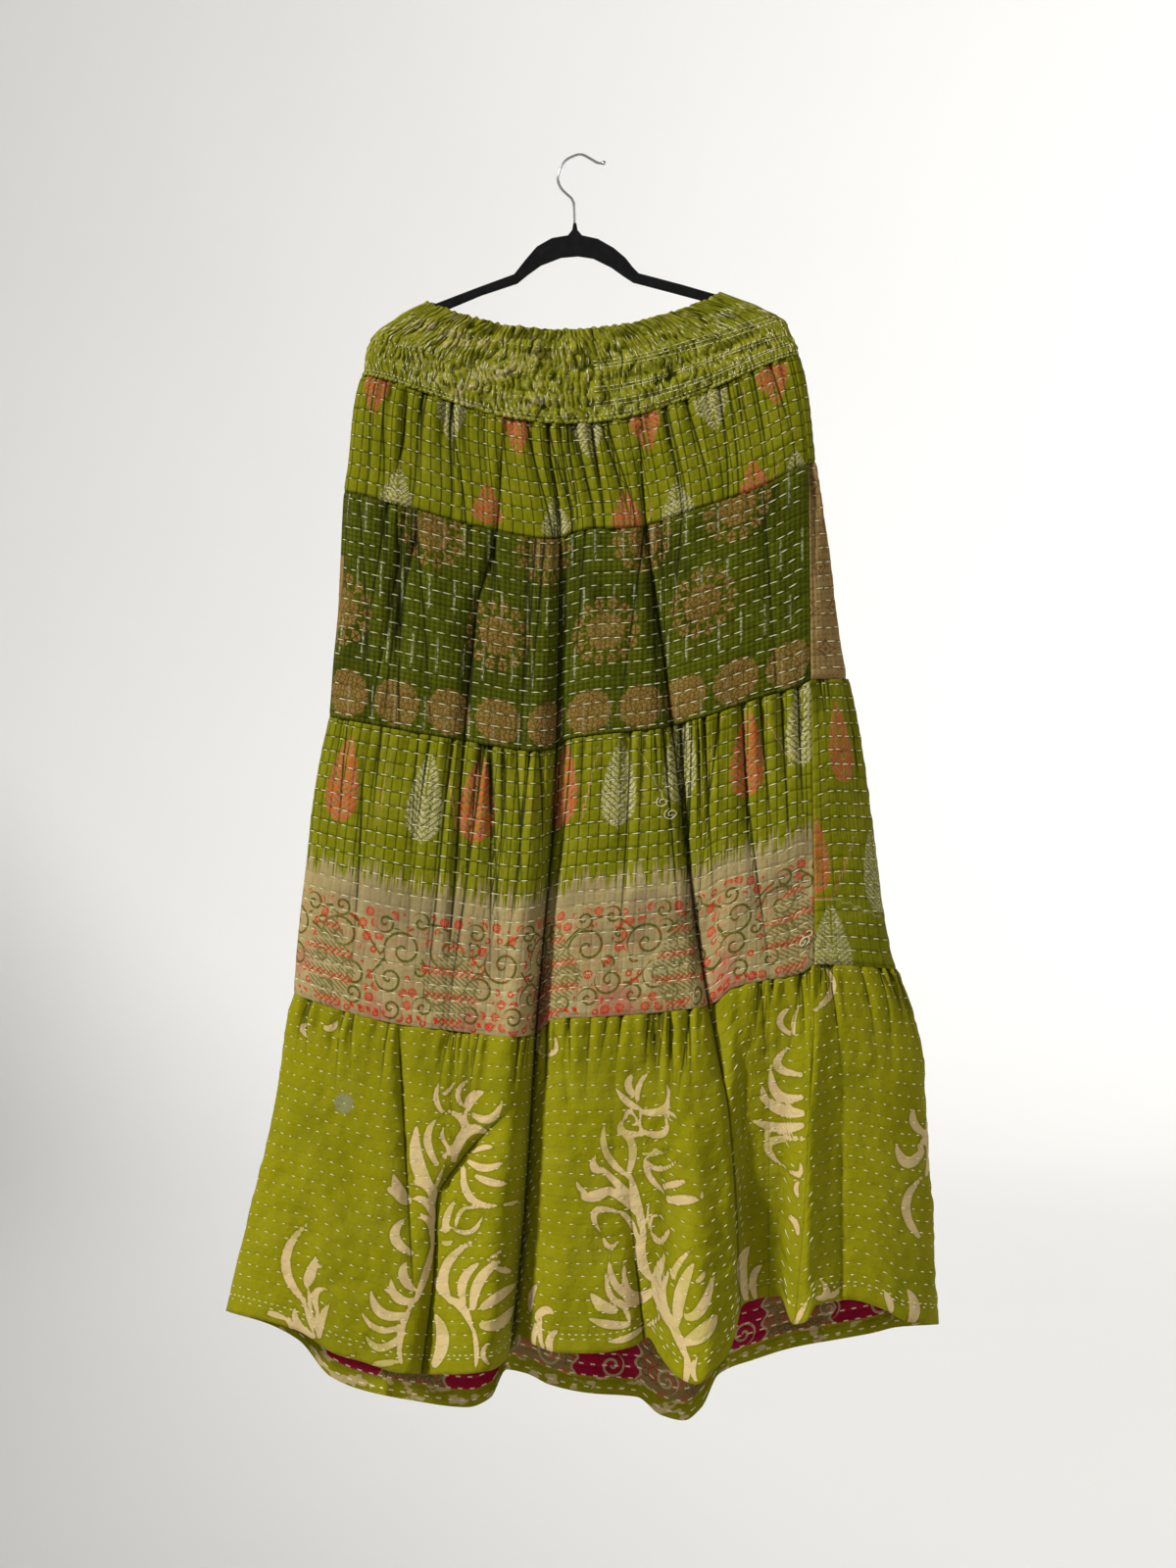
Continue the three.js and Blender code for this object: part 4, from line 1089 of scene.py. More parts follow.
def lime_cloth(colours):
    """First tier: lime cotton with dark upright threads and two rows of block-printed feathers."""
    graph, u, v = cloth_graph("lime_cotton")
    base = lime_ground(graph, u, v, colours, 0.22, 11.0, 0.7, 0.6)
    base = block_printed(graph, base, colours, (14.5, 23), 6.2, (1.0, 7.0), blotch=6)
    return sewn_cotton(graph, u, v, base, ROW_PITCH[1], 11.0)


def cracks(graph, x, y):
    """Mask of the brown print less its fine cracks."""
    return graph.crackle(x, y, 4.8).smooth(0.03, 0.15)


def medallions(graph):
    """Mask of the round medallions at the motifs: a wavy disc in a ring of split petals on stems."""
    petals, disc_radius, petal_ring = 14, 20.0, 31.5
    x, y, _, shown = motif_place(graph)
    away, angle = polar(graph, x, y)
    wavy = away + (angle * petals).cos() * 1.2 + (graph.noise(x, y, 5, 1.0) - 0.5) * 3
    disc = wavy.smooth(disc_radius + 0.5, disc_radius - 0.5) * cracks(graph, x, y)
    hub = abs(away - 11).smooth(1.4, 0.6) * 0.5
    petal = (angle * (petals / TURN) + 0.5).fract() - 0.5
    side = abs(petal * (TURN / petals)) * away
    dots = ((away - petal_ring) ** 2.0 + side**2.0).smooth(31, 24)
    split = abs(away - petal_ring).smooth(0.3, 1.2) * side.smooth(0.3, 1.2)
    stem = abs(away - 24).smooth(3.2, 2.2) * side.smooth(1.3, 0.6)
    return (disc * (1 - hub)).most(dots * split).most(stem) * shown


def scallops(graph, u, foot):
    """Mask of the row of wavy rounds above the seam at the foot of the second tier."""
    pitch, middle, radius = 55.0, 27, 24.0
    away, angle = polar(graph, ((u / pitch).fract() - 0.5) * pitch, foot - middle)
    edge = away + (angle * 13).cos() * 1.0
    return edge.smooth(radius + 0.5, radius - 0.7) * cracks(graph, u, foot)


def dark_cloth(colours):
    """Second tier: dark green cotton with a faint plaid, light upright bars, medallions and scallops."""
    graph, u, v = cloth_graph("dark_green_cotton")
    base = worn(graph, u, v, colours.dark_green, colours.dark_green_pale, 0.3)
    shade = graph.noise(u, v * 0.45, 44, 1.0, 4.0).smooth(0.5, 0.68) * 0.5
    base = graph.mix(shade, base, colours.dark_green_deep)
    plaid = (u.line(5.6).smooth(1.5, 0.4) + v.line(5.2).smooth(1.5, 0.4)) * 0.36
    base = graph.mix(plaid, base, colours.dark_green_deep)
    bar_x, bar_y, random = graph.cells(u, v + 14, 27.0, 62.0, 0.5)
    bar = abs(bar_x + (random[1] - 0.5) * 8).smooth(1.7, 0.7) * abs(bar_y).smooth(19, 14)
    bar = bar * (v.line(4.6).smooth(0.4, 1.3) * 0.5 + 0.5)
    bar = bar * graph.noise(u, v * 0.6, 2.5, 1.0, 2.0).smooth(0.34, 0.56) * random[0].smooth(0.12, 0.2)
    base = graph.mix(bar * 0.7, base, colours.thread_grey)
    foot = graph.number("from_hem")
    brown = worn(graph, u, v, colours.brown, colours.brown_pale, 0.5)
    base = graph.mix(medallions(graph).most(scallops(graph, u, foot)) * 0.92, base, brown)
    # Painted shade along the furrows of the rows of stitching
    furrows = v.line(ROW_PITCH[2], FIRST_ROW).smooth(2.2, 0.2)
    base = graph.mix(furrows * 0.4, base, colours.dark_green_deep)
    sliver = u.smooth(9.5, 8.0) * v.smooth(62, 66) * v.smooth(140, 135)
    base = graph.mix(sliver, base, colours.tan)
    return sewn_cotton(graph, u, v, base, ROW_PITCH[2], 5.6)


def tan_cloth(colours):
    """Second tier's back: tan cotton printed with brown concave diamonds."""
    graph, u, v = cloth_graph("tan_cotton")
    base = worn(graph, u, v, colours.tan, colours.beige, 0.5)
    x, y, random = graph.cells(u, v, 34.0, 44.0, 0.5)
    concave = (abs(x) ** 0.6) + (abs(y) ** 0.6)
    diamond = abs(concave - 4.6).smooth(0.5, 0.2).most(concave.smooth(2.4, 2.0))
    dash = v.line(7.3).smooth(0.9, 0.5) * (u * 0.2 + random[0]).line(1.0).smooth(0.2, 0.3) * 0.7
    base = graph.mix(diamond.most(dash) * 0.8, base, colours.brown_deep)
    # Painted shade along the furrows of the rows of stitching
    furrows = v.line(ROW_PITCH[2], FIRST_ROW).smooth(2.2, 0.2)
    base = graph.mix(furrows * 0.3, base, colours.brown_deep)
    return graph.finish(base, cotton_relief(graph, u, v, ROW_PITCH[2], 5.6), sheen=COTTON_SHEEN)


def spirals(graph, u, foot, middle, pitch, reach, gap, seed):
    """Mask of a row of painted spirals: rings that step out by the gap at each turn, out to the reach."""
    x, y, random = graph.cells(u + seed * 17.3, foot * 0 + seed, pitch, 1e3)
    x = x + (random[0] - 0.5) * (pitch - 2 * reach)
    y = foot - middle - (random[1] - 0.5) * 9
    away, angle = polar(graph, x, y)
    hand = random[2].smooth(0.49, 0.51) * 2 - 1
    turn = (away / gap - angle * hand * (1 / TURN) + 0.5).fract() - 0.5
    stroke = (abs(turn) * gap).smooth(1.8, 0.9)
    return stroke * away.smooth(reach + 0.8, reach), away - reach


# Rows of spirals in the border, and smaller ones in the gaps between them: how far each is shifted,
# then its middle above the seam, pitch, reach, gap and seed
SPIRALS = [
    (0, 76.0, 56.0, 21.0, 14.0, 1), (22, 41.0, 50.0, 15.0, 10.5, 2), (8, 18.0, 40.0, 11.0, 8.4, 3),
    (30, 104.0, 46.0, 10.0, 8.0, 4),
]
SMALL_SPIRALS = [(5, 57.0, 33.0, 8.5, 7.0, 6), (15, 90.0, 39.0, 9.0, 7.4, 7)]


def border_print(graph, u, foot, colours, ground):
    """Border of spirals, arcs, red stars and rings, and patches of slanting strokes on a pale ground."""
    (scroll, clear), *others = (spirals(graph, u + shift, foot, *row) for shift, *row in SPIRALS)
    for mask, out in others:
        scroll, clear = scroll.most(mask), clear.least(out)
    wave, patch_pitch = 104, 132
    vine = abs(foot - ((u * (TURN / wave)).sin() * 24 + 58)).smooth(2.2, 1.2)
    arch = abs(foot - (abs((u * (math.pi / wave)).sin()) * 38 + 68)).smooth(2.0, 1.1)
    between = vine.most(arch)
    for shift, *row in SMALL_SPIRALS:
        between = between.most(spirals(graph, u + shift, foot, *row)[0])
    scroll = scroll.most(between * clear.smooth(-0.5, 0.5))
    zone = (u / patch_pitch + 0.13).fract()
    hatch_zone = abs(zone - 0.5) * patch_pitch + abs(foot - 44) * 0.55
    hatch_zone = hatch_zone.smooth(34, 31)
    strokes = (u * 0.8 + foot * 1.1).line(5.2).smooth(1.4, 0.8)
    broken = (foot - u * 0.1).line(13.0).smooth(0.8, 1.8)
    hatch = strokes * broken * hatch_zone
    red_rows = (u - foot * 0.9).line(6.3).smooth(1.5, 0.9) * (foot.line(26.0, 8.0)).smooth(4.6, 3.8)
    red_rows = red_rows * hatch_zone
    x, y, random = graph.cells(u, foot, 13.5, 13.0, 0.5)
    x = x + (random[0] - 0.5) * 5
    y = y + (random[1] - 0.5) * 5
    away, angle = polar(graph, x, y)
    star = away.smooth(5.3, 4.5) * ((angle * 8).cos() * 0.5 + away * 0.16).smooth(0.05, 0.3)
    star = star * random[2].smooth(0.5, 0.48)
    ring = abs(away - 2.6).smooth(1.2, 0.6) * random[2].smooth(0.5, 0.52) * random[2].smooth(0.78, 0.76)
    dot = away.smooth(1.8, 1.1) * random[2].smooth(0.78, 0.8)
    free = (1 - hatch_zone) * clear.smooth(1.5, 3.0).most(0.2)
    spots = star.most(ring).most(dot) * free
    chips = graph.noise(u, foot, 1.9, 2.0, 8.0).smooth(0.3, 0.42)
    painted = graph.mix(scroll.most(hatch) * (1 - hatch_zone * 0.25) * chips * 0.92, ground, colours.scroll)
    band_row = abs(foot - 9).smooth(3.0, 2.0) * (u + foot * 0.4).line(9.0).smooth(2.6, 1.8)
    band_row = band_row * graph.noise(u, foot, 22, 1.0, 3.0).smooth(0.48, 0.56)
    red = spots.most(red_rows).most(band_row)
    return graph.mix(red * chips * 0.95, painted, colours.border_red)


def bordered_cloth(colours):
    """Third tier: lime with printed feathers above a streaked fade into a pale, scrolled border."""
    graph, u, v = cloth_graph("bordered_cotton")
    foot = graph.number("from_hem")
    base = lime_ground(graph, u, v, colours, 0.28, 11.0, 0.6, 0.55)
    base = block_printed(graph, base, colours, (17, 45), 7.2)
    ground = worn(graph, u, v, colours.beige, colours.beige_pale, 0.35)
    patch = graph.noise(u, foot, 70, 1.0, 6.0).smooth(0.48, 0.6)
    ground = graph.mix(patch * 0.4, ground, colours.beige_grey)
    ground = graph.mix(foot.smooth(64, 40) * patch * 0.35, ground, colours.print_pink)
    wander = graph.noise(u, foot * 0.1, 80, 1.0, 12.0) * 20 - 10
    _, _, threads = graph.cells(u, foot * 0 + 1, 1.7, 1e4)
    soft = (foot + wander).smooth(170, 116)
    fade = (soft - threads[0] * 0.7 + 0.06).smooth(0.0, 0.3)
    border = border_print(graph, u, foot, colours, ground)
    pale = graph.mix(foot.smooth(119, 115), ground, border)
    return sewn_cotton(graph, u, v, graph.mix(fade, base, pale), ROW_PITCH[3], 11.0)


def leaf_cloth(colours):
    """Third tier's back: the same lime with feathers and no border."""
    graph, u, v = cloth_graph("lime_leaf_cotton")
    base = lime_ground(graph, u, v, colours, 0.28, 12.0, 0.45, 0.36, 2.4, 0.2)
    base = block_printed(graph, base, colours, (17, 45), 6.0, ghost=0, share=0.85)
    return sewn_cotton(graph, u, v, base, ROW_PITCH[3], 11.0)


# The darned spot on the fourth tier
DARN_ACROSS, DARN_HEIGHT, DARN_RADIUS = -246.0, -999.0, 11.0


def darned(graph, base, colours):
    """The colour with one round net darn of grey thread on it."""
    x, y, z = graph.object_place()
    x, z = x - DARN_ACROSS, z - DARN_HEIGHT
    away, angle = polar(graph, x, z)
    inside = (away + (angle * 9).cos() * 0.8).smooth(DARN_RADIUS, DARN_RADIUS - 1.2) * y.smooth(2.0, -2.0)
    over, under = (way.line(1.7).smooth(0.6, 0.2) for way in (x + z * 0.2, z - x * 0.2))
    base = graph.mix(inside * 0.55, base, colours.lime_deep)
    return graph.mix(inside * over.most(under) * 0.5, base, colours.thread_grey)


def branch_cloth(colours):
    """Fourth tier: yellow-lime cotton with pale leaves left undyed, some of them tinted over."""
    graph, u, v = cloth_graph("branch_cotton")
    base = worn(graph, u, v, colours.yellow_lime, colours.lime_pale, 0.2)
    base = graph.mix(graph.noise(u, v, 90, 2.0, 1.0).smooth(0.5, 0.75) * 0.5, base, colours.lime)
    leaf = graph.number("leaf") + (graph.noise(u, v, 3.0, 2.0, 2.0) - 0.5) * 1.0
    mask = leaf.smooth(0.35, -0.35)
    halo = leaf.smooth(3.0, 0.0) * 0.25
    veins = graph.noise(u, v, 2.0, 3.0, 4.0).smooth(0.55, 0.72) * 0.35
    blur = graph.noise(u, v, 52, 1.0, 6.0).smooth(0.55, 0.64) * 0.5
    pale = graph.mix((veins + blur).least(0.8), colours.leaf, colours.leaf_tint)
    base = graph.mix(halo, base, colours.lime_deep)
    base = graph.mix(mask, base, pale)
    base = darned(graph, base, colours)
    from_row = v.line(ROW_PITCH[4], FIRST_ROW)
    # Faint painted shade along the furrows of the rows of stitching
    base = graph.mix(from_row.smooth(2.0, 0.2) * 0.08, base, colours.lime_deep)
    relief = cotton_relief(graph, u, v, ROW_PITCH[4]) + from_row.smooth(3.6, 0.0) * 0.45
    # Painted shade, a little weaker, along the bottoms of the pleats and narrow folds
    return graph.finish(with_crease_shade(graph, base, 0.7), relief, sheen=COTTON_SHEEN)


def reverse_cloth(colours):
    """Reverse of the upper tiers and the waistband: plain lime cotton, darker and worn."""
    graph, u, v = cloth_graph("reverse_cotton")
    base = worn(graph, u, v, colours.lime_deep, colours.lime, 0.5)
    return graph.finish(base, cotton_relief(graph, u, v, ROW_PITCH[1], 11.0), 0.92, COTTON_SHEEN)


def hem_reverse_cloth(colours):
    """Reverse of the fourth tier: the turned-up lime hem below magenta cotton and tan printed areas."""
    graph, u, v = cloth_graph("hem_reverse_cotton")
    foot = graph.number("from_hem")
    magenta = worn(graph, u, v, colours.magenta, colours.magenta_pale, 0.35)
    tan = worn(graph, u, v, colours.tan, colours.beige, 0.4)
    pitch = 142
    inside = abs((u / pitch + 0.2).fract() - 0.5) * pitch + (foot * 0.3).sin() * 3
    curl_x, curl_y, random = graph.cells(u, foot, 26.0, 26.0, 0.5)
    away, angle = polar(graph, curl_x, curl_y)
    swirl = (away / 6 - angle * (1 / TURN)).line(1.0).smooth(0.2, 0.12) * away.smooth(11, 10)
    tan = graph.mix(swirl * 0.8, tan, colours.print_red)
    scales = graph.crackle(u, foot, 6.0).smooth(0.1, 0.03) * random[0].smooth(0.4, 0.5)
    tan = graph.mix(scales * 0.7, tan, colours.brown_deep)
    curls, _ = spirals(graph, u - 8, foot, 34.0, 71.0, 13.0, 8.5, 5)
    edge = abs(inside - 37).smooth(1.8, 1.0).most(curls)
    cloth = graph.mix(inside.smooth(38, 36), magenta, tan)
    cloth = graph.mix(edge * 0.85, cloth, colours.beige_pale)
    hem = worn(graph, u, v, colours.yellow_lime, colours.lime_pale, 0.3)
    bits = graph.noise(u, foot * 1.6, 20, 2.0, 3.0).smooth(0.54, 0.58)
    hem = graph.mix(bits * 0.9, hem, colours.leaf)
    running = v.line(12.0, FIRST_ROW).smooth(0.9, 0.5) * (u + v * 0.3).line(12.5).smooth(3.6, 4.0)
    base = graph.mix(foot.smooth(17.5, 18.5), hem, cloth)
    upper = worn(graph, u, v, colours.lime_deep, colours.lime, 0.5)
    base = graph.mix(foot.smooth(120, 122), base, upper)
    base = graph.mix(running * 0.9, base, colours.stitch)
    return graph.finish(base, cotton_relief(graph, u, v, ROW_PITCH[4]), 0.92, COTTON_SHEEN)


def band_cloth(colours):
    """Waistband: olive smocked cotton, bleached in patches, with pale flecks and painted highlight on its
    ridges and painted shade in its hollows.
    """
    graph, u, v = cloth_graph("smocked_cotton")
    base = worn(graph, u, v, colours.band, colours.lime_pale, 0.4)
    x, _, z = graph.object_place()
    bleached = graph.noise(x * 0.6, z * 1.5, 24, 3.0, 2.0).smooth(0.47, 0.62)
    bleached = bleached * x.smooth(-188, -160) * x.smooth(-6, -50)
    base = graph.mix(bleached * 0.75, base, colours.lime_pale)
    chalky = bleached * graph.noise(u, v, 9, 2.0, 4.0).smooth(0.45, 0.6)
    base = graph.mix(chalky * 0.8, base, colours.beige_pale)
    dashes = (u + graph.noise(u, v, 9, 1.0) * 3).line(2.3).smooth(0.55, 0.25)
    dashes = dashes * (v + u * 0.31).line(5.1).smooth(1.1, 1.7)
    dashes = dashes * graph.noise(u, v, 12, 2.0, 6.0).smooth(0.5, 0.62)
    base = graph.mix(dashes * 0.3, base, colours.stitch)
    hollow = graph.number("hollow")
    # Pale flecks, kept to the ridges, where they also stand for a painted highlight
    fleck_and_highlight = graph.noise(u, v * 0.5, 2.6, 3.0, 5.0).smooth(0.56, 0.68) * hollow.smooth(0.7, 0.3)
    base = graph.mix(fleck_and_highlight * 0.75, base, colours.beige_pale)
    # Painted shade in the hollows between the ribs, in uneven patches
    hollow_shade = hollow.smooth(0.5, 0.95) * graph.noise(u, v, 14, 2.0, 8.0).smooth(0.25, 0.5)
    base = graph.mix(hollow_shade * 0.8, base, colours.lime_deep)
    relief = graph.noise(u, v * 0.5, 2.2, 3.0) * 0.7 + graph.noise(u, v, 7.0, 2.0, 3.0) * 0.9
    return graph.finish(base, relief, 0.9, COTTON_SHEEN)


def thread(colours):
    """Off-white sewing thread with its twist."""
    graph = Graph("cotton_thread")
    x, y, z = graph.object_place()
    twist = (x * 3.0 + z * 7.0 + y).sin() * 0.06
    tone = graph.noise(x, z, 26, 1.0).smooth(0.35, 0.7)
    colour = graph.mix(tone * 0.6, colours.stitch, colours.stitch_dull)
    return graph.finish(colour, twist, 0.8)


def velvet(colours):
    """Flocked black velvet with a soft edge light and faint brushing."""
    graph = Graph("black_velvet")
    x, y, z = graph.object_place()
    brushed = graph.noise(x, z * 0.6, 9, 3.0).smooth(0.4, 0.7)
    colour = graph.mix(brushed * 0.5, colours.velvet, colours.velvet_pale)
    relief = graph.noise(x, z, 0.7, 2.0, y) * 0.12
    return graph.finish(colour, relief, 0.95, 0.25, (0.5, 0.5, 0.52, 1), 0.15)


def chrome(colours):
    """Plated wire with a few dull spots."""
    graph = Graph("chrome_wire")
    x, y, z = graph.object_place()
    spots = graph.noise(x, z, 3.0, 2.0, y).smooth(0.58, 0.75) * 0.25 + 0.16
    surface = graph.add(
        "ShaderNodeBsdfPrincipled", {}, {"Base Color": colours.chrome, "Metallic": 1.0, "Roughness": spots}
    )
    graph.add("ShaderNodeOutputMaterial", {}, {"Surface": surface})
    return graph.material


# Printed motifs of the front: across, height in the plane, tint (1 red, 0 grey), and 1 up or -1 down
FRONT_MOTIFS = {
    1: [
        (-217, -254, 1, -1), (-137, -285, 0, -1), (-67, -298, 1, -1), (8, -303, 0, -1), (69, -294, 1, -1),
        (141, -271, 0, -1), (206, -246, 1, -1), (-194, -352, 0, 1), (-99, -368, 1, 1), (-25, -382, 0, 1),
        (50, -376, 1, 1), (103, -364, 0, 1), (184, -345, 1, 1), (238, -352, 0, 1),
    ],
    2: [
        (-159, -400, 1, 1), (-89, -509, 1, 1), (28, -504, 1, 1), (130, -474, 1, 1), (-34, -420, 1, 1),
        (70, -406, 1, 1), (168, -372, 1, 1), (-252, -480, 1, 1),
    ],
    3: [
        (-250, -661, 1, 1), (-163, -682, 0, 1), (-108, -682, 1, 1), (-18, -667, 1, 1), (42, -667, 0, 1),
        (177, -635, 1, 1), (108, -640, 0, 1), (236, -600, 0, 1),
    ],
}
# Those of the third tier's back that show round the right-hand edge
SIDE_MOTIFS = [(276, -620, 1, 1), (313, -760, 0, 1), (266, -838, 0, 1), (238, -742, 1, 1)]
# How far a motif reaches from its middle, by tier
MOTIF_REACH = {1: 26, 2: 42, 3: 50}
# Prints on gathered cloth are made this much narrower than they measure flat
MOTIF_NARROWING = {1: 0.78, 2: 1, 3: 0.72}
# Rows of motifs on the back, by tier: their pitch, the first one's place, and the height and way up of
# each row, where a height below zero is counted from the foot
BACK_MOTIFS = {1: (78, 40, ((24, -1), (-16, 1))), 3: (84, 190, ((92, 1),))}

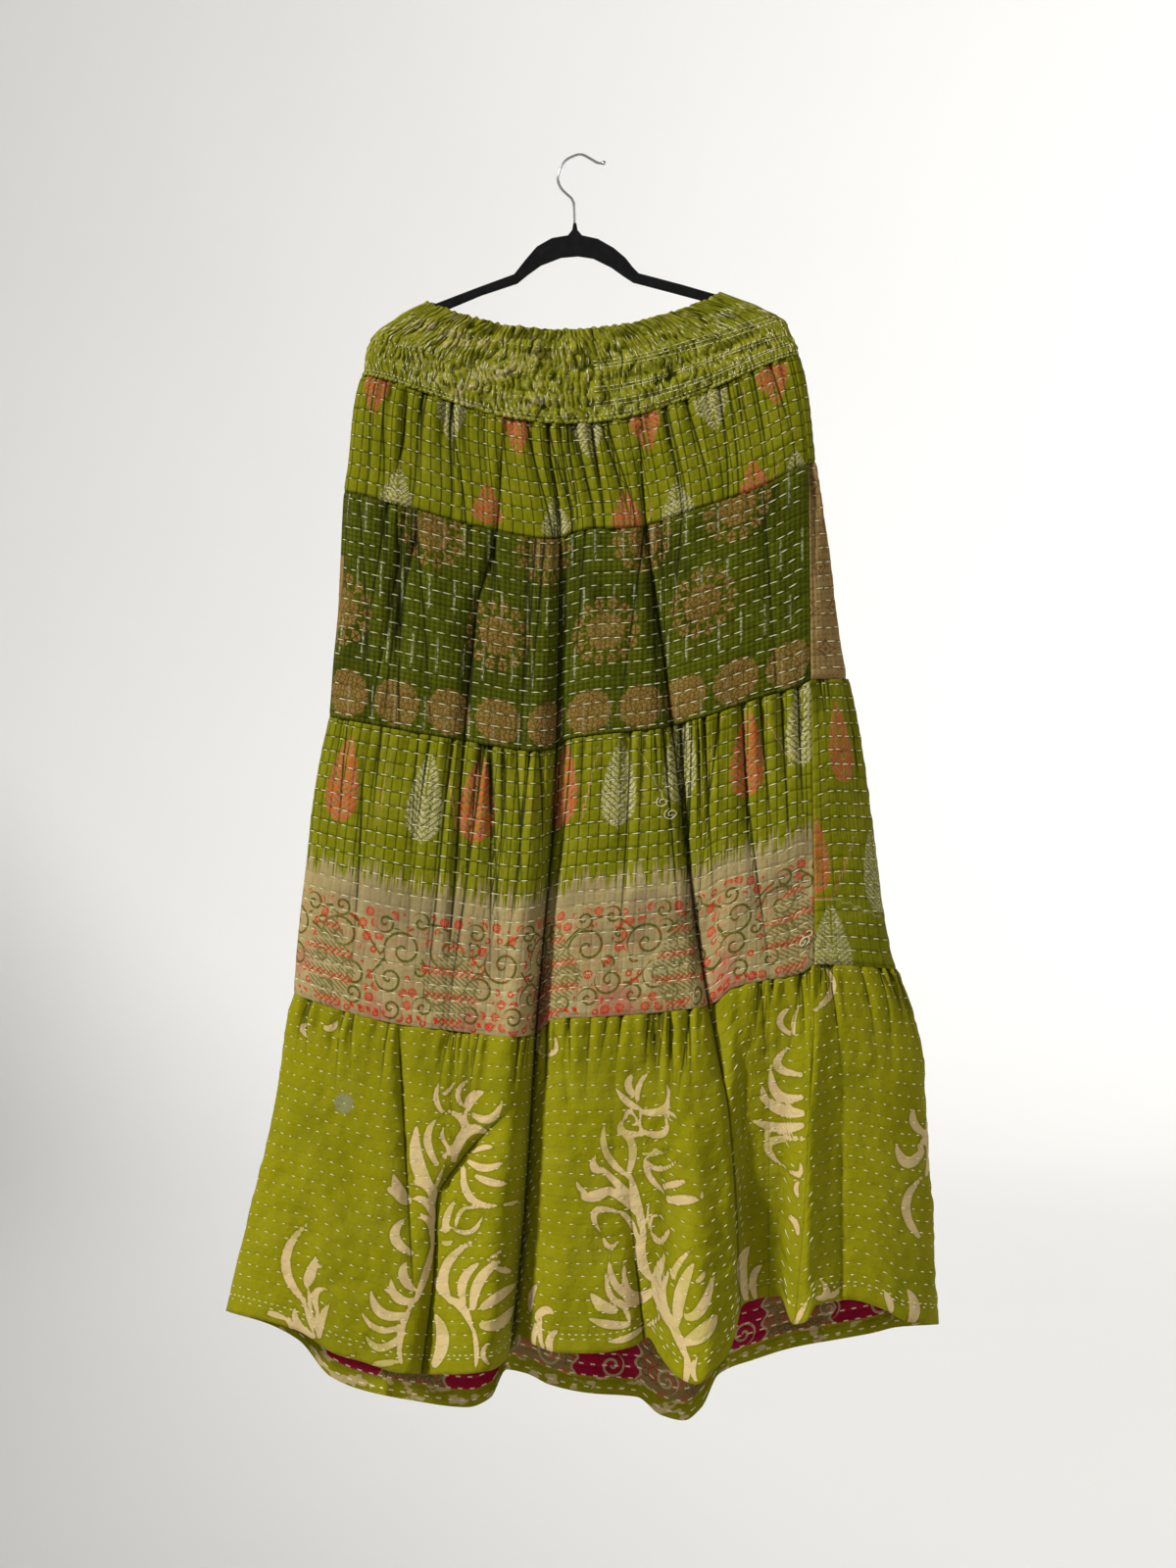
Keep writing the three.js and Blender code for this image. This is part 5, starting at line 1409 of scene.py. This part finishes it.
# Painted leaves of the fourth tier: across and height of base, middle and tip, then half width
LEAVES = [
    (-294, -1214, -312, -1168, -279, -1125, 6.6), (-294, -1212, -288, -1234, -282, -1251, 2.5),
    (-290, -1196, -286, -1186, -280, -1167, 7.6), (-283, -1183, -277, -1178, -271, -1181, 2.3),
    (-289, -1195, -286, -1224, -280, -1250, 2.3), (-279, -1225, -280, -1206, -266, -1204, 4.3),
    (-279, -1224, -279, -1239, -278, -1250, 2.3), (-277, -1253, -274, -1234, -266, -1217, 5.3),
    (-283, -1253, -299, -1241, -303, -1221, 5.5), (-290, -1245, -306, -1241, -308, -1231, 3.8),
    (-312, -1234, -326, -1229, -333, -1228, 3.8), (-158, -1171, -156, -1138, -156, -1093, 2.5),
    (-157, -1098, -173, -1067, -173, -1027, 10.1), (-152, -1070, -162, -1042, -150, -1020, 5.3),
    (-144, -1061, -122, -1030, -149, -1011, 6.0), (-146, -1015, -153, -999, -148, -981, 3.3),
    (-147, -996, -140, -992, -130, -978, 2.3), (-138, -1054, -146, -1042, -144, -1029, 2.5),
    (-156, -1138, -152, -1093, -136, -1057, 2.5), (-134, -1065, -119, -1035, -94, -1040, 7.6),
    (-125, -1008, -129, -992, -113, -977, 3.3), (-119, -1010, -114, -999, -101, -993, 7.1),
    (-113, -1018, -94, -1021, -82, -1000, 5.5), (-122, -1037, -123, -1022, -118, -1009, 2.8),
    (-114, -1057, -101, -1052, -91, -1054, 3.5), (-118, -1067, -99, -1074, -78, -1065, 5.0),
    (-110, -1083, -91, -1090, -76, -1089, 5.0), (-124, -1074, -114, -1108, -78, -1113, 5.3),
    (-81, -1113, -71, -1111, -63, -1106, 2.3), (-156, -1112, -163, -1093, -182, -1091, 5.5),
    (-155, -1129, -164, -1110, -180, -1107, 5.3), (-157, -1152, -161, -1130, -175, -1127, 4.3),
    (-183, -1109, -192, -1100, -198, -1080, 9.1), (-190, -1103, -198, -1099, -205, -1095, 5.5),
    (-180, -1164, -197, -1146, -183, -1126, 7.1), (-178, -1202, -188, -1188, -184, -1173, 6.6),
    (-177, -1215, -195, -1211, -201, -1189, 6.0), (-190, -1210, -200, -1206, -209, -1203, 3.5),
    (-186, -1230, -212, -1227, -222, -1202, 6.8), (-189, -1241, -215, -1245, -233, -1224, 4.3),
    (-188, -1250, -212, -1265, -229, -1249, 5.3), (-190, -1280, -188, -1241, -166, -1198, 4.3),
    (-174, -1214, -163, -1183, -156, -1151, 4.8), (-143, -1141, -141, -1125, -132, -1107, 4.8),
    (-149, -1139, -142, -1139, -135, -1138, 3.0), (-132, -1136, -124, -1118, -105, -1119, 2.8),
    (-134, -1139, -115, -1141, -103, -1122, 3.3), (-138, -1215, -142, -1178, -105, -1147, 6.8),
    (-124, -1215, -123, -1191, -103, -1173, 6.3), (-114, -1222, -105, -1191, -80, -1170, 7.3),
    (-88, -1181, -79, -1183, -73, -1183, 4.0), (-104, -1222, -86, -1210, -66, -1195, 6.8),
    (-104, -1241, -85, -1238, -71, -1220, 8.1), (-99, -1171, -89, -1166, -81, -1158, 2.0),
    (-139, -1214, -124, -1224, -114, -1248, 5.8), (-113, -1246, -110, -1269, -112, -1289, 3.3),
    (-152, -1193, -146, -1204, -136, -1215, 6.3), (-97, -1282, -103, -1269, -92, -1255, 3.0),
    (-154, -1282, -146, -1254, -155, -1228, 9.1), (-146, -1153, -140, -1154, -135, -1150, 3.0),
    (-219, -1282, -205, -1281, -190, -1279, 4.3), (-253, -1277, -243, -1274, -235, -1271, 1.8),
    (-290, -934, -295, -924, -280, -922, 3.0), (-271, -925, -263, -925, -257, -917, 4.3),
    (-39, -954, -26, -949, -29, -930, 2.9), (-44, -930, -45, -947, -38, -954, 2.1),
    (56, -996, 51, -985, 57, -973, 5.0), (61, -1010, 49, -1003, 38, -990, 4.5),
    (61, -1002, 63, -986, 74, -970, 3.6), (65, -1014, 87, -1013, 93, -997, 5.5),
    (92, -1002, 94, -994, 91, -984, 1.9), (63, -1009, 64, -1028, 65, -1058, 1.4),
    (65, -1038, 44, -1035, 48, -1020, 5.0), (48, -1021, 52, -1014, 59, -1021, 2.9),
    (59, -1021, 60, -1028, 53, -1027, 1.7), (65, -1035, 87, -1038, 92, -1022, 4.8),
    (91, -1024, 96, -1016, 103, -1023, 2.4), (67, -1059, 82, -1059, 101, -1052, 2.6),
    (77, -1058, 80, -1054, 83, -1053, 1.9), (69, -1066, 87, -1075, 107, -1061, 3.3),
    (69, -1067, 75, -1085, 94, -1103, 3.8), (89, -1093, 101, -1091, 114, -1087, 4.8),
    (94, -1108, 111, -1108, 127, -1107, 6.7), (124, -1107, 129, -1105, 129, -1098, 1.9),
    (51, -1081, 55, -1049, 38, -1036, 5.5), (51, -1083, 27, -1056, 28, -1024, 4.8),
    (68, -1148, 60, -1109, 51, -1075, 6.0), (59, -1110, 39, -1090, 16, -1068, 5.0),
    (22, -1077, 14, -1073, 16, -1060, 4.8), (66, -1128, 39, -1102, 18, -1101, 6.2),
    (30, -1097, 15, -1104, -1, -1105, 7.6), (6, -1099, 0, -1096, -4, -1088, 2.9),
    (61, -1149, 51, -1128, 38, -1120, 3.8), (38, -1120, 15, -1122, 25, -1149, 4.5),
    (25, -1149, 32, -1158, 42, -1149, 3.1), (66, -1148, 65, -1173, 80, -1197, 8.1),
    (73, -1112, 72, -1128, 75, -1143, 1.4), (94, -1140, 84, -1152, 75, -1139, 4.1),
    (76, -1139, 77, -1126, 90, -1126, 1.7), (79, -1202, 51, -1204, 49, -1159, 4.8),
    (68, -1212, 39, -1200, 31, -1164, 5.3), (58, -1219, 34, -1212, 28, -1182, 4.3),
    (49, -1212, 63, -1214, 80, -1204, 6.2), (37, -1225, 22, -1219, 11, -1206, 7.6),
    (18, -1223, 25, -1223, 33, -1225, 4.3), (52, -1235, 46, -1220, 38, -1214, 3.8),
    (51, -1240, 29, -1240, 8, -1233, 6.0), (66, -1244, 46, -1256, 27, -1257, 4.3),
    (-46, -1232, -37, -1225, -28, -1229, 5.7), (-40, -1265, -43, -1245, -40, -1232, 3.1),
    (-31, -1272, -32, -1255, -22, -1246, 5.0), (-49, -1265, -49, -1250, -46, -1235, 2.9),
    (-53, -1225, -51, -1207, -44, -1197, 4.1), (102, -1250, 80, -1202, 91, -1162, 5.3),
    (96, -1233, 88, -1204, 100, -1176, 4.1), (103, -1237, 108, -1202, 123, -1172, 8.6),
    (123, -1195, 129, -1190, 132, -1183, 3.3), (99, -1191, 104, -1176, 121, -1158, 4.3),
    (113, -1232, 130, -1221, 143, -1180, 7.2), (114, -1258, 132, -1247, 145, -1229, 11.0),
    (112, -1273, 101, -1247, 89, -1218, 5.7), (111, -1303, 114, -1283, 111, -1269, 4.8),
    (123, -1300, 120, -1286, 127, -1271, 3.1), (72, -1241, 80, -1236, 87, -1230, 3.3),
    (80, -1202, 86, -1178, 90, -1164, 3.8), (249, -906, 268, -883, 257, -858, 4.5),
    (223, -932, 212, -916, 231, -899, 4.2), (227, -932, 227, -916, 234, -900, 2.6),
    (234, -975, 209, -964, 228, -941, 5.5), (234, -999, 208, -994, 203, -960, 6.8),
    (235, -1016, 211, -1011, 189, -996, 8.1), (203, -1006, 195, -997, 194, -986, 3.9),
    (235, -1029, 209, -1031, 178, -1022, 6.8), (203, -1031, 199, -1036, 197, -1045, 3.6),
    (235, -1043, 199, -1050, 223, -1077, 5.5), (222, -1077, 233, -1080, 233, -1067, 3.2),
    (231, -1104, 229, -1094, 234, -1087, 2.9), (231, -1144, 227, -1130, 218, -1126, 3.6),
    (367, -1038, 354, -1026, 355, -1009, 5.5), (360, -1051, 370, -1036, 366, -1023, 4.9),
    (362, -1057, 346, -1068, 334, -1046, 7.8), (367, -1083, 370, -1062, 366, -1042, 2.9),
    (359, -1146, 346, -1111, 370, -1078, 6.2), (176, -1212, 172, -1176, 181, -1157, 6.8),
    (186, -1212, 184, -1189, 196, -1175, 4.9), (251, -1212, 262, -1207, 253, -1189, 4.9),
    (261, -1210, 270, -1208, 277, -1198, 3.6), (330, -1226, 328, -1215, 322, -1204, 4.9),
    (350, -1239, 355, -1221, 346, -1201, 7.5), (228, -1241, 234, -1228, 242, -1214, 3.6),
]


@functools.lru_cache(maxsize=1)
def cloth_pieces(front_grid, back_grid, wall):
    """The grids of the eight sewn pieces by name, worked out once for each set of sizes."""
    return {
        f"tier{tier}_{side}": Cloth(side, tier).weave(step / MM, wall / MM)
        for tier in (1, 2, 3, 4)
        for side, step in (("front", front_grid), ("back", back_grid))
    }


@functools.lru_cache(maxsize=1)
def band_piece():
    """The grid of the waistband, worked out once."""
    return Band(5, 41).weave()


def motif_places(cloth):
    """Places of a piece's motifs on the flat cloth: u, v, tint and which way up."""
    if cloth.side == "front":
        return [(*cloth.flat_place(x, z), *rest) for x, z, *rest in FRONT_MOTIFS[cloth.tier]]
    places = []
    if cloth.tier == 3:
        end = np.searchsorted(cloth.columns, WRAP_COLUMNS, "right")
        places = [(*cloth.flat_place(x, z, end), *rest) for x, z, *rest in SIDE_MOTIFS]
    pitch, start, rows = BACK_MOTIFS[cloth.tier]
    for number, (height, up) in enumerate(rows):
        for place in np.arange(start + number * pitch / 2, cloth.width - 20, pitch):
            places.append((place, height % cloth.length, len(places) % 2, up))
    return places


def motif_field(cloth):
    """For every point: its place beside the nearest motif in millimetres, and that motif's tint, or -1."""
    v, u = np.meshgrid(cloth.v, cloth.u, indexing="ij")
    best = np.full(u.shape, 1e9)
    field = np.stack([u * 0, u * 0, u * 0 - 1], -1)
    for place_u, place_v, tint, up in motif_places(cloth):
        across, down = (u - place_u) * MOTIF_NARROWING[cloth.tier], v - place_v
        away = np.hypot(across, down)
        nearer = away < best
        best[nearer] = away[nearer]
        field[nearer] = np.stack([across, -down * up, down * 0 + tint], -1)[nearer]
    field[best > MOTIF_REACH[cloth.tier], 2] = -1
    return field.reshape(-1, 3)


def srgb(red, green, blue):
    """Linear colour with full alpha from display values of 0 to 255."""
    parts = [value / 255 for value in (red, green, blue)]
    linear = [part / 12.92 if part <= 0.04045 else ((part + 0.055) / 1.055) ** 2.4 for part in parts]
    return (*linear, 1.0)


def paint(name, where, red, green, blue):
    """Colour property with a default in display values."""
    return bpy.props.FloatVectorProperty(
        name=name, description=where, subtype="COLOR", size=4, min=0, max=1, default=srgb(red, green, blue)
    )


def length(name, where, default):
    """Length property in metres."""
    return bpy.props.FloatProperty(name=name, description=where, default=default, min=0.0001, unit="LENGTH")


class SkirtSizes(bpy.types.PropertyGroup):
    """Sizes of the cloth, the threads and the grids they are built on."""

    front_grid: length("Front grid", "Distance across between the points of the front pieces", 0.0025)
    back_grid: length("Back grid", "Distance across between the points of the back pieces", 0.0034)
    wall: length("Cloth thickness", "Thickness of the layered cotton", 0.0019)
    thread_width: length("Thread width", "Width of a hand stitch", 0.0012)
    thread_height: length("Thread height", "How far a hand stitch stands out", 0.0007)
    wire: length("Wire radius", "Radius of the hook's wire", 0.0014)
    tip: length("Tip radius", "Radius of the ball on the hook's tip", 0.0025)


class SkirtColours(bpy.types.PropertyGroup):
    """Colours of the cloth, prints, threads, hanger and studio."""

    lime: paint("Lime", "First and third tiers", 106, 107, 2)
    lime_pale: paint("Worn lime", "Faded parts of the lime cloth", 148, 144, 36)
    # Deep lime is also the painted shade in the waistband's hollows and along the rows of stitching
    lime_deep: paint("Deep lime", "Threads and hollows of the lime cloth", 42, 48, 0)
    yellow_lime: paint("Yellow lime", "Fourth tier", 127, 122, 1)
    band: paint("Olive", "Waistband", 116, 117, 14)
    dark_green: paint("Dark green", "Second tier", 70, 75, 4)
    dark_green_pale: paint("Worn dark green", "Faded parts of the second tier", 104, 108, 14)
    # Deep dark green is also the painted shade along the second tier's rows of stitching
    dark_green_deep: paint("Deep dark green", "Plaid of the second tier", 34, 42, 2)
    brown: paint("Brown", "Medallions", 130, 94, 48)
    brown_pale: paint("Pale brown", "Worn parts of the medallions", 140, 112, 66)
    # Deep brown is also the painted shade along the tan cloth's rows of stitching
    brown_deep: paint("Deep brown", "Print of the tan cloth", 78, 56, 26)
    tan: paint("Tan", "Second tier's back", 136, 108, 62)
    beige: paint("Beige", "Border", 150, 132, 86)
    # Pale beige on the waistband's ridges is partly a painted highlight
    beige_pale: paint("Pale beige", "Worn parts of the border, and flecks of the waistband", 180, 165, 120)
    beige_grey: paint("Grey beige", "Patches of the border", 116, 104, 76)
    leaf: paint("Leaf", "Undyed leaves of the fourth tier", 196, 172, 122)
    leaf_tint: paint("Tinted leaf", "Parts of the leaves that the dye has reached", 166, 156, 60)
    scroll: paint("Scroll green", "Spirals of the border", 76, 78, 10)
    print_pink: paint("Print pink", "Feathers, and a tint in the border", 186, 92, 80)
    print_red: paint("Print red", "Blotches of the feathers, and curls of the reverse", 206, 66, 54)
    border_red: paint("Border red", "Stars and strokes of the border", 186, 34, 24)
    print_grey: paint("Print grey", "Pale feathers", 176, 168, 126)
    magenta: paint("Magenta", "Reverse of the fourth tier", 150, 14, 46)
    magenta_pale: paint("Worn magenta", "Faded parts of the reverse", 160, 48, 72)
    stitch: paint("Stitch", "Hand stitches", 226, 220, 182)
    stitch_dull: paint("Dull stitch", "Stitches that have taken some dye", 204, 200, 140)
    thread_grey: paint("Grey thread", "Upright bars of the second tier, and the darn", 172, 172, 136)
    velvet: paint("Velvet", "Hanger", 9, 9, 10)
    velvet_pale: paint("Brushed velvet", "Pile that lies over", 24, 24, 26)
    chrome: paint("Chrome", "Hook", 196, 198, 200)
    ground: paint("Ground", "Studio floor and backdrop", 229, 228, 225)


class SKIRT_OT_waistband(bpy.types.Operator):
    """Build the smocked waistband"""

    bl_idname = "object.skirt_waistband"
    bl_label = "Waistband"

    def execute(self, context):
        colours = context.scene.skirt_colours
        band = band_piece()
        thing = two_sided("smocked_waistband", band, {"hollow": band.hollow.ravel()}, closed=True)
        for material in (band_cloth(colours), reverse_cloth(colours)):
            thing.data.materials.append(material)
        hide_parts("waistband")
        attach(thing, "root")
        return {"FINISHED"}


class SKIRT_OT_tiers(bpy.types.Operator):
    """Build the front and back pieces of the four tiers"""

    bl_idname = "object.skirt_tiers"
    bl_label = "Tiers"

    def execute(self, context):
        colours = context.scene.skirt_colours
        lime, reverse = lime_cloth(colours), reverse_cloth(colours)
        faces = {
            "tier1_front": lime,
            "tier1_back": lime,
            "tier2_front": dark_cloth(colours),
            "tier2_back": tan_cloth(colours),
            "tier3_front": bordered_cloth(colours),
            "tier3_back": leaf_cloth(colours),
            "tier4_front": branch_cloth(colours),
        }
        faces["tier4_back"] = faces["tier4_front"]
        hem_reverse = hem_reverse_cloth(colours)
        sizes = context.scene.skirt_sizes
        for name, cloth in cloth_pieces(sizes.front_grid, sizes.back_grid, sizes.wall).items():
            foot = np.repeat(cloth.length - cloth.v, len(cloth.u))
            held = {"from_hem": foot, "line": cloth.line.reshape(-1, 3)}
            if cloth.tier == 4:
                held["leaf"] = leaf_field(*cloth.plane.reshape(-1, 2).T)
            elif name != "tier2_back":
                held["motif"] = motif_field(cloth)
            thing = two_sided(f"{name}_cloth", cloth, held)
            thing.data.materials.append(faces[name])
            thing.data.materials.append(hem_reverse if cloth.tier == 4 else reverse)
            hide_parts(name)
            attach(thing, "root")
        return {"FINISHED"}


# Ends of thread left hanging on the front: piece, across and height in the plane
LOOSE_THREADS = [
    ("tier3_front", 88, -687), ("tier3_front", 97, -699), ("tier3_front", 240, -824),
    ("tier3_front", 236, -834),
]


def loose_thread(name, cloth, across, height, seed, material):
    """A thread end that curls once and a half and lies on the cloth."""
    random = np.random.default_rng(90 + seed)
    u, v = cloth.flat_place(across, height)
    stations, radius, sides = 26, 0.42, 6
    t = np.linspace(0, 1, stations)
    turn = random.uniform(0, 6) + TURN * random.uniform(0.9, 1.5) * t
    reach = random.uniform(3.5, 6.5) * (0.35 + t)
    points, normals = cloth.at(u + reach * np.cos(turn), v + reach * np.sin(turn) * 0.8)
    lift = 0.9 + 1.3 * np.sin(math.pi * t)
    return tube(name, points + normals * lift[:, None], np.full(stations, radius), sides, material)


class SKIRT_OT_stitches(bpy.types.Operator):
    """Sew the rows of running stitch on the tiers and the threads on the waistband"""

    bl_idname = "object.skirt_stitches"
    bl_label = "Stitches"

    def execute(self, context):
        sizes = context.scene.skirt_sizes
        material = thread(context.scene.skirt_colours)
        width, tall = sizes.thread_width / MM, sizes.thread_height / MM
        cloths = cloth_pieces(sizes.front_grid, sizes.back_grid, sizes.wall)
        for name, cloth in cloths.items():
            rows = stitch_rows(cloth, cloth.tier + 10 * len(cloth.side))
            if cloth.tier == 4:
                pitch, long, first = HEM_STITCHES
                places = np.arange(first, cloth.width - 8, pitch)
                hem = (places, places * 0 + cloth.length * HEM_SHARE, places * 0 + long)
                rows = tuple(np.concatenate(pair) for pair in zip(rows, hem))
            self.sew(f"{name}_stitches", cloth, rows, width, tall, material)
        band = band_piece()
        self.sew("waistband_threads", band, band_threads(band), 1.05, 0.6, material)
        for number, (name, across, height) in enumerate(LOOSE_THREADS):
            label = f"loose_thread_{number + 1}"
            knot = loose_thread(label, cloths[name], across, height, number, material)
            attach(knot, "root")
        return {"FINISHED"}

    @staticmethod
    def sew(name, cloth, rows, width, tall, material):
        thing = stitch_mesh(name, cloth, *rows[:3], width, tall, *rows[3:])
        thing.data.materials.append(material)
        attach(thing, "root")


# Rows of thread across the waistband's front: shares of the way down, shares round it of their start
# and end, then from one stitch to the next, its length and how far the rows wander
BAND_ROWS = [
    ((0.34, 0.385, 0.43, 0.62, 0.66, 0.8, 0.84), 0.265, 0.485, 7.0, 6.6, 1.2),
    ((0.2, 0.5, 0.75), 0.02, 0.24, 9.0, 3.5, 0),
]


def band_threads(band):
    """Threads of the waistband: short upright ones all round, dense rows at its foot, and the rows above."""
    random = np.random.default_rng(31)
    count = 820
    start = random.uniform(0.004, 0.98, count) * band.width
    height = random.uniform(0.1, 0.9, count) * band.length
    long = random.uniform(3.0, 8.5, count)
    groups = [(start, height, np.minimum(long, band.length * 0.97 - height), np.ones(count))]
    for share in (0.925, 0.97):
        places = np.arange(4, band.width - 8, 4.6) + random.uniform(-0.8, 0.8)
        places = places[random.uniform(0, 1, len(places)) > 0.12]
        groups.append((places, places * 0 + share * band.length, places * 0 + 3.0, places * 0))
    for shares, start, end, pitch, long, sway in BAND_ROWS:
        for share in shares:
            places = np.arange(start * band.width, end * band.width, pitch)
            drift = sway * np.sin(places / 37 + 20 * share)
            groups.append((places, share * band.length + drift, places * 0 + long, places * 0))
    return tuple(np.concatenate(part) for part in zip(*groups))


class SKIRT_OT_hanger(bpy.types.Operator):
    """Finish the velvet hanger and build its wire hook"""

    bl_idname = "object.skirt_hanger"
    bl_label = "Hanger"

    def execute(self, context):
        colours, sizes = context.scene.skirt_colours, context.scene.skirt_sizes
        body = bpy.data.objects["hanger_body"]
        body.data.materials.clear()
        body.data.materials.append(velvet(colours))
        route = smooth_route(HOOK_ROUTE, 90)
        wire, tip = sizes.wire / MM, sizes.tip / MM
        steps = np.linalg.norm(np.diff(route, axis=0), axis=1)
        left = steps.sum() - np.concatenate([[0], np.cumsum(steps)])
        ball = np.sqrt(np.maximum(0, tip**2 - (left - tip) ** 2))
        radii = np.where(left < tip, ball, np.maximum(wire, ball)) + 0.02
        hook = tube("hook_wire", route, radii, 20, chrome(colours))
        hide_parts("hanger_hook")
        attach(hook, "root")
        return {"FINISHED"}


class SKIRT_OT_stage(bpy.types.Operator):
    """Set up the studio: a pale bowl-shaped floor, soft lights, a pale world and the camera"""

    bl_idname = "scene.skirt_stage"
    bl_label = "Stage"

    FLOOR_HEIGHT, FLOOR_FLAT, FLOOR_SPOKES = -1900.0, 4000, 72
    WORLD_COLOUR, WORLD_STRENGTH = (0.9, 0.89, 0.87, 1), 0.17
    LENS, SENSOR_WIDTH, SIGHT = 47.6, 36.0, 60
    # Name, where it shines from, strength and spread in degrees
    SUNS = [
        ("Key", (-2.0, -1.3, 1.5), 3.75, 7),
        ("Fill", (1.2, -1.9, 0.5), 0.2, 50),
        ("Back", (0.4, 1.6, 1.3), 0.8, 60),
    ]

    def execute(self, context):
        scene = context.scene
        ground = Graph("studio_ground")
        x, y, _ = ground.object_place()
        tone = ground.noise(x, y, 900, 2.0).smooth(0.3, 0.7) * 0.06
        colour = ground.mix(tone, scene.skirt_colours.ground, (0.6, 0.6, 0.62, 1))
        material = ground.finish(colour, ground.noise(x, y, 4, 2.0) * 0.05, 0.9)
        flat, spokes = self.FLOOR_FLAT, self.FLOOR_SPOKES
        reach = np.concatenate([np.linspace(0, flat, 9), np.linspace(flat + 400, 9000, 24)])[:, None]
        angle = (np.arange(spokes) * TURN / spokes)[None, :]
        rise = np.maximum(0, (reach - flat) / 1000) ** 2.2 * 160 + 0 * angle
        points = np.stack([reach * np.cos(angle), reach * np.sin(angle), self.FLOOR_HEIGHT + rise], -1)
        floor = add_mesh("studio_floor", points.reshape(-1, 3), grid_faces(len(reach), spokes, closed=True))
        floor.data.materials.append(material)
        for name, place, power, spread in self.SUNS:
            lamp = bpy.data.lights.new(name, "SUN")
            lamp.energy, lamp.angle = power, math.radians(spread)
            thing = bpy.data.objects.new(name, lamp)
            thing.location = place
            thing.rotation_euler = Vector(place).to_track_quat("Z", "Y").to_euler()
            scene.collection.objects.link(thing)
        world = bpy.data.worlds.new("Pale studio")
        world.use_nodes = True
        background = world.node_tree.nodes["Background"]
        background.inputs["Color"].default_value = self.WORLD_COLOUR
        background.inputs["Strength"].default_value = self.WORLD_STRENGTH
        scene.view_settings.view_transform = "Standard"
        scene.world = world
        camera = bpy.data.cameras.new("Camera")
        camera.lens, camera.sensor_width = self.LENS, self.SENSOR_WIDTH
        camera.clip_end = self.SIGHT
        holder = bpy.data.objects.new("Camera", camera)
        holder.location = (EYE_ACROSS * MM, -EYE_DISTANCE * MM, EYE_HEIGHT * MM)
        holder.rotation_euler = (math.pi / 2, 0, 0)
        scene.collection.objects.link(holder)
        scene.camera = holder
        return {"FINISHED"}


class SKIRT_PT_panel(bpy.types.Panel):
    """Sidebar panel with the skirt's sizes, colours and building steps"""

    bl_idname = "SKIRT_PT_panel"
    bl_label = "Maxi Skirt"
    bl_space_type = "VIEW_3D"
    bl_region_type = "UI"
    bl_category = "Maxi Skirt"

    def draw(self, context):
        layout = self.layout
        for operator in OPERATORS:
            layout.operator(operator.bl_idname)
        for group in (context.scene.skirt_sizes, context.scene.skirt_colours):
            box = layout.box()
            for name in group.__annotations__:
                box.prop(group, name)


OPERATORS = (SKIRT_OT_waistband, SKIRT_OT_tiers, SKIRT_OT_stitches, SKIRT_OT_hanger, SKIRT_OT_stage)
CLASSES = (SkirtSizes, SkirtColours, *OPERATORS, SKIRT_PT_panel)


def register():
    for item in CLASSES:
        bpy.utils.register_class(item)
    bpy.types.Scene.skirt_sizes = bpy.props.PointerProperty(type=SkirtSizes)
    bpy.types.Scene.skirt_colours = bpy.props.PointerProperty(type=SkirtColours)


def unregister():
    del bpy.types.Scene.skirt_colours
    del bpy.types.Scene.skirt_sizes
    for item in reversed(CLASSES):
        bpy.utils.unregister_class(item)


def plain(bounds):
    """Bounds as plain lists of numbers."""
    return [[float(value) for value in corner] for corner in bounds]


def main():
    """Builds everything in order."""
    register()
    bpy.ops.object.skirt_waistband()
    bpy.ops.object.skirt_tiers()
    bpy.ops.object.skirt_stitches()
    bpy.ops.object.skirt_hanger()
    bpy.ops.scene.skirt_stage()
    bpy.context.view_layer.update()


if __name__ == "__main__":
    main()
